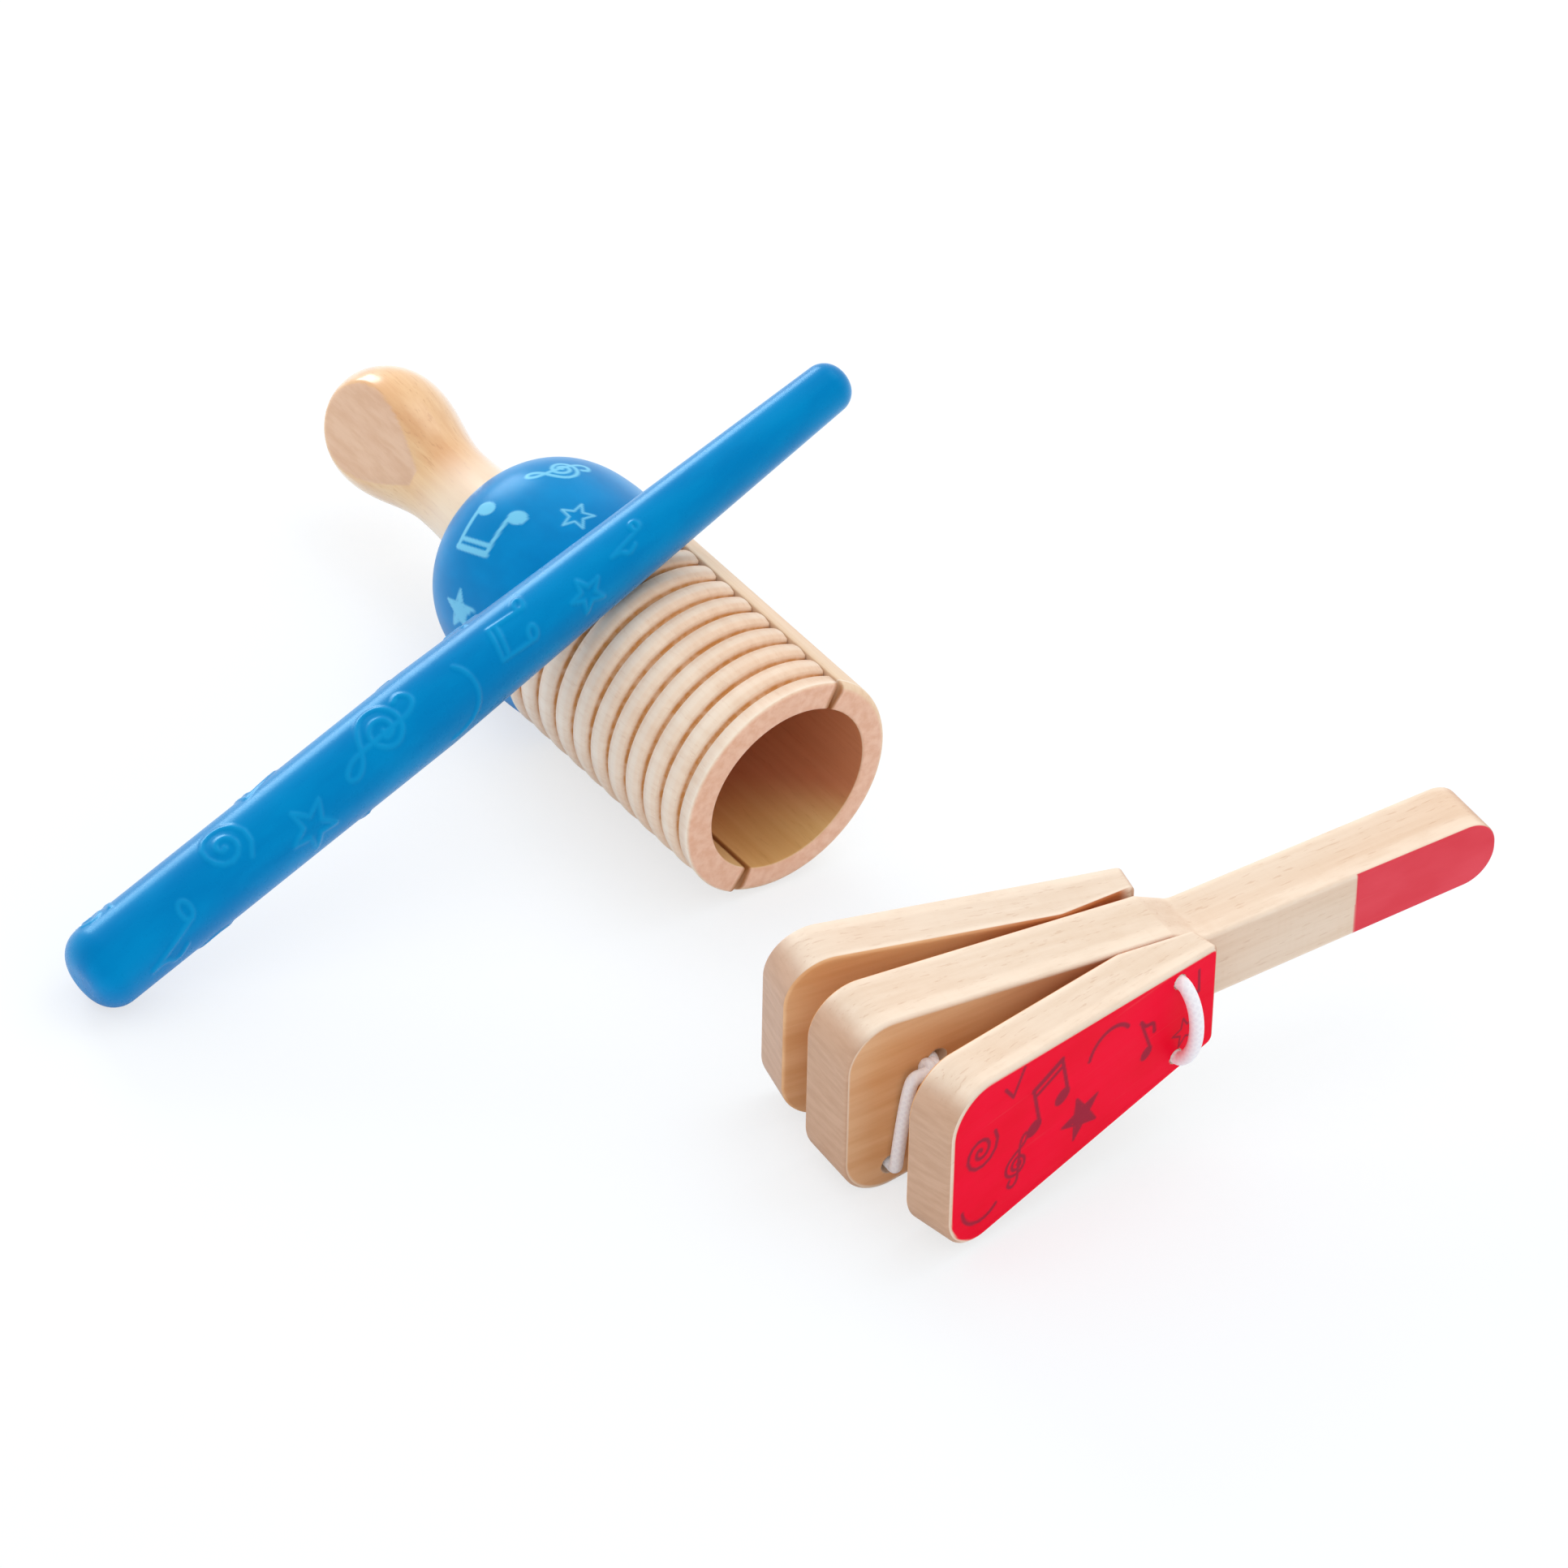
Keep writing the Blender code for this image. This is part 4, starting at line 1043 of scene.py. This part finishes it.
def board_skin(name, corners, thickness, middle, origin, directions, hollow=None, face_rows=62,
               paint=None, front_gap_shaded=False):
    """The rows of the board in its own directions: along, through and across. Hollow says how
    much of the back is cut away at each place along it, and paint gives the front's prints."""
    outline = rounded_outline(corners)
    normals = outline_normals(outline)
    spine = np.stack([np.clip(outline[:, 0], *middle), np.zeros(len(outline))], 1)
    flat, depth = board_rows(outline, normals, thickness, spine, face_rows)
    if hollow:
        depth = depth * (thickness - hollow(flat[..., 0])) / thickness
    face_width = np.linalg.norm(outline - board_round * normals - spine, axis=1)
    marks = board_marks(flat, depth, normals, face_width, face_rows, front_gap_shaded)
    if paint:
        on_front = np.arange(len(depth))[:, None] < face_rows + 3
        for label, value in paint(flat.reshape(-1, 2)).items():
            marks[label] = value.reshape(depth.shape) * on_front
    along, through, across = directions
    points = origin + flat[..., :1] * along + depth[..., None] * through + flat[..., 1:] * across
    return make_piece(name, points, grid_faces(*depth.shape, wrap_columns=True), marks, sharp=32)


def drill(piece, holes, radius, direction, length):
    """Cut round holes through a board with exact Booleans, and keep the cut mesh. The drill's
    own mark says where the wall of a hole is."""
    side = unit(np.cross(direction, (0.3, 0.5, 0.8)))
    bit = np.array([(0, 0), (radius, 0), (radius, length), (0, length)])
    radii, heights, angles = turned_grid(bit, 40)
    for place in holes:
        skin = lathe(place - direction * length / 2, direction, side, radii, heights, angles)
        cutter = make_piece("drill", skin, grid_faces(*radii.shape, wrap_columns=True),
                            {"hole": np.ones(radii.shape)})
        cut = piece.modifiers.new("hole", "BOOLEAN")
        cut.object, cut.operation, cut.solver = cutter, "DIFFERENCE", "EXACT"
        bpy.context.view_layer.update()
        shape = bpy.data.meshes.new_from_object(piece.evaluated_get(bpy.context.evaluated_depsgraph_get()))
        piece.modifiers.clear()
        piece.data = shape
        bpy.data.objects.remove(cutter)
    return piece


# %% Sizes of the boards
head_length, paddle_length, head_half_hinge = 83.4 * MM, 84.6 * MM, 14.05 * MM
centre_half_free, paddle_half_free = 25.3 * MM, 23.7 * MM
centre_thickness, paddle_thickness = 15.4 * MM, 12.0 * MM
centre_length, ridge_from_free = 169.8 * MM, 65.0 * MM
rear_bevel, front_bevel = math.radians(14.4), math.radians(15.6)
hinge_hole_radius, striking_hole_radius = 1.85 * MM, 2.5 * MM
print("the boards are", round(head_length / MM, 1), "mm long and", round(centre_thickness / MM, 1),
      "and", round(paddle_thickness / MM, 1), "mm thick")

# %% [markdown]
# ## Finishes of the boards
# The front paddle has a red print that stops short of its top edge and its free end and
# leaves a thin line of bare wood there, with darker signs scattered over it. The centre
# board's handle is printed red at its end. Both prints are thin ink over wood, and the
# grain's relief still shows through them.

# %% Prints
paddle_corners = [(0, -paddle_half_free, 11 * MM), (paddle_length, -head_half_hinge, 2 * MM),
                  (paddle_length, head_half_hinge, 2 * MM), (0, paddle_half_free, 11 * MM)]
paddle_signs = [("pair", 31, 5, 15, 12), ("full_star", 42, -8, 12, 15), ("scroll", 10, 3, 11, 0),
                ("tick", 20, 15, 9, 0), ("clef", 22, -7, 11, -12), ("arc", 50, 8, 11, 10),
                ("note", 62, 1, 12, 20), ("arc", 10, -14, 10, 160), ("tick", 78, 6, 8, 30),
                ("star", 75, -5, 8, 10)]
print_shift, print_margin, print_softness = np.array([0.6, -0.55]) * MM, 1.0 * MM, 0.3 * MM
red_from, red_softness = 132.2 * MM, 0.4 * MM


def paddle_print(flat):
    """Red inside the paddle's own outline drawn in by 1 mm and moved away from the top and
    the free end, and the signs on it."""
    outline = rounded_outline(paddle_corners, 1.0 * MM)
    moved = flat - print_shift
    distance = near_stroke(moved, np.concatenate([outline, outline[:1]]))
    distance = np.where(inside(moved, outline), distance, -distance)
    red = eased(0.5 + (distance - print_margin) / print_softness)
    return {"printed": red, "signs": ink(flat / MM, paddle_signs, 0.45) * red}


def handle_print(flat):
    """Red past a straight line across the handle."""
    return {"printed": eased(0.5 + (flat[:, 0] - red_from) / red_softness)}


print("signs on the front paddle:", len(paddle_signs))

# %% Wood of the boards


def board_material(name, red=None, signs=None):
    """Sanded wood, duller on its end grain, with painted orange brown shade where two boards face each
    other, darker towards the ridge, and painted dark shade in the holes. Red ink lies over the wood's
    figure, thinner where fibres stand up."""
    material, tree, shader, wood, place = wood_material(name, (237, 218, 198), (225, 201, 177), flecks=0.22,
                                                       wear_and_highlight=(250, 232, 212))
    dull = mottled(tree, place, (300, 110, 700), 4, (200, 161, 134), (210, 172, 145))
    wood = blended(tree, mark(tree, "endgrain"), wood, dull)
    saw_marks = scaled(tree, patches(tree, place, (900, 90, 90), 3, 0.45, 0.75), 0.08)
    wood = blended(tree, saw_marks, wood, srgb(240, 228, 214), "MULTIPLY")
    # Painted shade on the faces between the boards: orange brown, darker towards the ridge.
    gap_shade = mottled(tree, place, (14, 180, 180), 4, (220, 162, 110), (236, 188, 140))
    way_in = add(tree, "ShaderNodeSeparateXYZ", {0: place}).outputs["X"]
    gap_shade = blended(tree, spread(tree, way_in, 0.03, 0.065), gap_shade, srgb(220, 170, 132), "MULTIPLY")
    wood = blended(tree, mark(tree, "inner"), wood, gap_shade)
    # Painted shade: the walls of the holes are dark brown.
    wood = blended(tree, mark(tree, "hole"), wood, srgb(86, 58, 40))
    wire(tree, shader, {"Base Color": wood})
    if not red:
        return material
    ink_colour = mottled(tree, place, (30, 60, 60), 3, *red)
    if signs:
        ink_colour = blended(tree, scaled(tree, mark(tree, "signs"), 0.92), ink_colour, srgb(*signs))
    standing = patches(tree, place, (24, 900, 900), 4, 0.62, 0.8)
    cover = calculate(tree, "MULTIPLY", mark(tree, "printed"), scaled(tree, standing, -0.05, 1.0))
    wire(tree, shader, {"Base Color": blended(tree, cover, wood, ink_colour), "Specular IOR Level": 0.04})
    return material


red_wood = board_material("red_print_wood", ((240, 0, 40), (248, 4, 50)), (150, 38, 60))
centre_wood = board_material("centre_board_wood", ((222, 66, 78), (230, 80, 92)))
rear_wood = board_material("rear_board_wood")
print("board materials:", red_wood.name, centre_wood.name, rear_wood.name)

# %% [markdown]
# ## The centre board
# The middle board and its long handle were sawn from one plank. Its outline is a list of eight corners,
# each with the radius of its round, and both its faces take painted shade where the paddles face them,
# since a paddle strikes on each. The striking cord's two holes are drilled through it.

# %% Centre board
neck_place, end_corner = head_length + 9.0 * MM, 8 * MM
centre_corners = [(0, -centre_half_free, 11 * MM), (head_length, -head_half_hinge, 2 * MM),
                  (neck_place, -9.1 * MM, 6 * MM), (centre_length, -8.4 * MM, end_corner),
                  (centre_length, 8.4 * MM, end_corner), (neck_place, 9.1 * MM, 6 * MM),
                  (head_length, head_half_hinge, 2 * MM), (0, centre_half_free, 11 * MM)]
centre_board = board_skin("centre_board_skin", centre_corners, centre_thickness,
                          (22 * MM, centre_length - end_corner),
                          board_free_end - board_through * centre_thickness / 2,
                          (board_along, board_through, board_across), face_rows=50, paint=handle_print,
                          front_gap_shaded=True)
striking_holes = [(23.2 * MM, 7.6 * MM), (12.3 * MM, -17.9 * MM)]
drill(centre_board, [board_free_end + x * board_along + y * board_across for x, y in striking_holes],
      striking_hole_radius, board_through, 30 * MM)
dress(centre_board, centre_wood, "clapper", "board_wood", "centre_board")

# %% [markdown]
# ## The paddles
# The two paddles rock on a ridge: behind it their inner faces are planed back, by 15.6
# degrees on the front one and 14.4 on the rear one, so that a thin gap shows at the front.
# Each has a frame of its own on its ridge line, turned from the centre board's by the angle
# at which it stands open. The front paddle's skin starts at its printed outer face, and the
# rear one's at its bare outer face, so the planed side is always the last rows.

# %% Frames of the paddles


def turned_about(axis, angle, vector):
    """Rodrigues' rotation: the part along the axis stays, the rest turns by the angle."""
    across = np.cross(axis, vector)
    along = np.dot(axis, vector) * axis
    return along + (vector - along) * math.cos(angle) + across * math.sin(angle)


def paddle_frame(joint, opening, outward):
    """The middle of the outer face's free end, and the paddle's directions: along it, from
    its outer face inward, and across it."""
    along = turned_about(board_across, opening, board_along)
    through = turned_about(board_across, opening, board_through)
    ridge = np.array(joints[joint]["pos_m"])
    start = ridge - along * ridge_from_free + through * outward * paddle_thickness
    return start, (along, -through * outward, board_across)


front_opening, rear_opening = math.radians(13.9), math.radians(-9.3)
front_start, front_ways = paddle_frame("front_paddle_hinge", front_opening, -1)
rear_start, rear_ways = paddle_frame("rear_paddle_hinge", rear_opening, 1)
print("free ends of the paddles:", front_start.round(4), rear_start.round(4))

# %% Paddles
paddle_middle, ridge_round = (22 * MM, 72 * MM), 0.35 * MM


def planed(bevel):
    """What is lost behind the ridge at each place: the slope times the distance past it,
    rounded at the ridge as r log(1 + exp(distance / r))."""
    def lost(place):
        past = np.logaddexp(0, (place - ridge_from_free) / ridge_round)
        return ridge_round * past * math.tan(bevel)
    return lost


front_paddle = board_skin("front_paddle_skin", paddle_corners, paddle_thickness, paddle_middle,
                          front_start, front_ways, planed(front_bevel), paint=paddle_print)
rear_paddle = board_skin("rear_paddle_skin", paddle_corners, paddle_thickness, paddle_middle,
                         rear_start, rear_ways, planed(rear_bevel), face_rows=30)
front_hole, rear_hole = ridge_from_free + 7.5 * MM, ridge_from_free + 10.5 * MM
hinge_hole_along, hinge_hole_height = 76.15 * MM, 10.90 * MM
for paddle, start, ways, hole in ((front_paddle, front_start, front_ways, front_hole),
                                  (rear_paddle, rear_start, rear_ways, rear_hole)):
    places = [start + hole * ways[0] + y * board_across for y in (hinge_hole_height, -hinge_hole_height)]
    drill(paddle, places, hinge_hole_radius, ways[1], 40 * MM)
dress(front_paddle, red_wood, "front_board", "red_print_wood", "front_paddle")
dress(rear_paddle, rear_wood, "rear_board", "rear_board_wood", "rear_paddle")

# %% [markdown]
# ## The elastic cords
# Round white elastic, about 3 mm thick with a finely braided cover, ties the boards behind
# their ridges and makes a loop near the free end for the paddles to strike on. A cord is a
# circle carried along a smooth route. Its braid is a very low relief, as it shows in the
# photograph: two sets of strands that wind opposite ways, one over the other.

# %% Cord skins
cord_radius, hinge_cord_radius = 1.5 * MM, 1.62 * MM
braid_pitch, strand_count, braid_depth = 1.7 * MM, 5, 0.01


def smooth_route(points, closed, spacing=0.22 * MM, rounds=4):
    """Cut corners four times, each point giving two at a quarter and three quarters of the
    way to the next, and space the result evenly."""
    route = np.array(points)
    for _ in range(rounds):
        following = np.roll(route, -1, 0)
        cut = np.stack([0.75 * route + 0.25 * following, 0.25 * route + 0.75 * following], 1)
        cut = cut.reshape(-1, 3)
        route = cut if closed else np.concatenate([route[:1], cut[:-2], route[-1:]])
    if closed:
        route = np.concatenate([route, route[:1]])
    length = np.concatenate([[0], np.cumsum(np.linalg.norm(np.diff(route, axis=0), axis=1))])
    even = np.linspace(0, length[-1], max(8, int(length[-1] / spacing)), endpoint=not closed)
    return np.stack([np.interp(even, length, route[:, k]) for k in range(3)], 1), length[-1]


def cord_skin(name, route, length, reference, closed, radius=cord_radius, steps=44):
    """A circle square to the route's tangent at every point, its radius raised by the braid:
    the greater of two waves that wind opposite ways round the cord."""
    if closed:
        tangent = unit(np.roll(route, -1, 0) - np.roll(route, 1, 0))
    else:
        tangent = unit(np.gradient(route, axis=0))
    side = unit(np.cross(tangent, reference))
    up = np.cross(tangent, side)
    turn = np.linspace(0, math.tau, steps, endpoint=False)
    along = np.linspace(0, length, len(route), endpoint=not closed)[:, None]
    wind = math.tau * np.round(length / braid_pitch) * along / length
    strands = 0.5 + 0.5 * np.maximum(np.cos(strand_count * turn + wind), np.cos(strand_count * turn - wind))
    size = radius * (1 - braid_depth * (1 - strands))
    if not closed:
        size[[0, -1]] = 0
    spoke = np.cos(turn)[:, None] * side[:, None, :] + np.sin(turn)[:, None] * up[:, None, :]
    points = route[:, None, :] + size[..., None] * spoke
    return make_piece(name, points, grid_faces(len(route), steps, wrap_rows=closed, wrap_columns=True),
                      {"braid": strands}, sharp=60)


def cord_material():
    """Pale elastic: the valleys between the strands are painted a little greyer as shade, and fuzz soils
    both.
    """
    material, tree, shader = new_material("white_elastic")
    place = add(tree, "ShaderNodeTexCoord").outputs["Object"]
    fuzz = stretched_noise(tree, place, (2200, 2200, 2200), 2)
    strands = spread(tree, mark(tree, "braid"), 0.4, 1.0)
    # Painted shade: the braid's valleys are a little greyer than its strands.
    colour = blended(tree, strands, srgb(243, 241, 246), srgb(250, 249, 252))
    darkened = blended(tree, scaled(tree, spread(tree, fuzz, 0.4, 0.8), 0.15), colour, srgb(222, 206, 202))
    normal = bumped(tree, fuzz, 0.2, 0.0002)
    wire(tree, shader, {"Base Color": darkened, "Roughness": 0.62, "Normal": normal,
                        "Sheen Weight": 0.2})
    return material


elastic = cord_material()
print("cords are", 2 * cord_radius / MM, "and", round(2 * hinge_cord_radius / MM, 2), "mm thick")

# %% Places on the clapper, and knots


def board_point(x, through, y):
    """A point given along, through and across the centre board."""
    return board_free_end + x * board_along + through * board_through + y * board_across


def knot_skin(name, place, along, reference, wide=1.75 * MM, thick=1.25 * MM):
    """Two turns of cord side by side round the strand: a helix of two full turns."""
    angle = np.linspace(0, 2 * math.tau, 90)
    side = unit(np.cross(along, reference))
    up = np.cross(along, side)
    shift = (angle / angle[-1] - 0.5) * 2.6 * MM
    route = (place + shift[:, None] * along + wide * np.cos(angle)[:, None] * side
             + wide * np.sin(angle)[:, None] * up)
    length = np.linalg.norm(np.diff(route, axis=0), axis=1).sum()
    return cord_skin(name, route, length, along, False, radius=thick, steps=36)


print("middle of the centre board:", board_point(centre_length / 2, 0, 0).round(4))

# %% [markdown]
# ## The striking cord
# It leaves the upper hole of the centre board, is knotted there, bends down over the face
# and goes back through the lower hole; behind the board it runs straight between the holes.

# %% Striking cord
face = centre_thickness / 2
(upper_x, upper_y), (lower_x, lower_y) = striking_holes
striking_route = [board_point(*place) for place in (
    (upper_x - 0.6 * MM, 0, upper_y), (upper_x - 0.9 * MM, -face + 0.5 * MM, upper_y),
    (upper_x - 2.4 * MM, -face - 2.1 * MM, upper_y), (18.4 * MM, -face - 2.9 * MM, 7.4 * MM),
    (15.4 * MM, -face - 2.9 * MM, 7.8 * MM), (14.6 * MM, -face - 2.5 * MM, 4.6 * MM),
    (13.7 * MM, -face - 1.9 * MM, -4.0 * MM), (lower_x + 0.2 * MM, -face - 1.9 * MM, lower_y + 3.4 * MM),
    (lower_x, -face - 1.8 * MM, lower_y), (lower_x, -face, lower_y), (lower_x, 0, lower_y),
    (lower_x, face, lower_y), (lower_x + 0.1 * MM, face + 1.8 * MM, lower_y + 0.3 * MM),
    ((upper_x + lower_x) / 2, face + 1.9 * MM, (upper_y + lower_y) / 2),
    (upper_x - 0.1 * MM, face + 1.8 * MM, upper_y - 0.3 * MM), (upper_x, face, upper_y))]
route, striking_length = smooth_route(striking_route, True)
slanted = unit(0.45 * board_along - 0.75 * board_through + 0.5 * board_across)
striking_cord = cord_skin("striking_cord", route, striking_length, slanted, True)
dress(striking_cord, elastic, "clapper", "elastic", "bumper_cord")
striking_knot = knot_skin("striking_knot", board_point(20.3 * MM, -face - 2.0 * MM, 7.6 * MM),
                          unit(board_along * -1 + board_across * 0.2), board_through,
                          wide=1.3 * MM, thick=1.1 * MM)
dress(striking_knot, elastic, "clapper", "elastic")
print("striking cord, mm:", round(striking_length / MM, 1))

# %% [markdown]
# ## The hinge cord
# One loop runs through all three boards and shows as a bow over each paddle's outer face. It
# stretches as a paddle rocks, so it is made in two halves that meet inside the centre board.
# Each half runs from the middle of the centre board through its paddle and back.

# %% Hinge cord


bow_height, bow_foot = 5.5 * MM, 0.9 * MM


def hinge_half(name, start, ways, hole, side):
    """From the middle of the centre board through one hole, over the paddle's outer face in
    a half round, and back through the other hole."""
    along, inward, _ = ways
    outer = start + hole * along
    angle = np.linspace(0, np.pi, 9)
    lift = np.maximum(bow_height * np.sin(angle), bow_foot)
    bow = [outer + y * board_across - inward * up for y, up in zip(hinge_hole_height * np.cos(angle), lift)]
    legs = [[board_point(hinge_hole_along, 0, height), board_point(hinge_hole_along, side * face, height),
             outer + height * board_across + inward * 1.0 * MM]
            for height in (hinge_hole_height, -hinge_hole_height)]
    route, length = smooth_route([*legs[0], *bow, *reversed(legs[1])], False, rounds=3)
    piece = cord_skin(name, route, length, board_along, False, radius=hinge_cord_radius)
    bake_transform(piece)
    print(name, "mm:", round(length / MM, 1))
    return coat(piece, elastic)


front_half = hinge_half("hinge_cord_front", front_start, front_ways, front_hole, -1)
hinge_half("hinge_cord_rear", rear_start, rear_ways, rear_hole, 1)
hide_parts("hinge_cord")
rear_crown = rear_start + rear_hole * rear_ways[0] - rear_ways[1] * bow_height
dress(knot_skin("hinge_knot", rear_crown, board_across, board_along), elastic, "rear_board", "elastic")
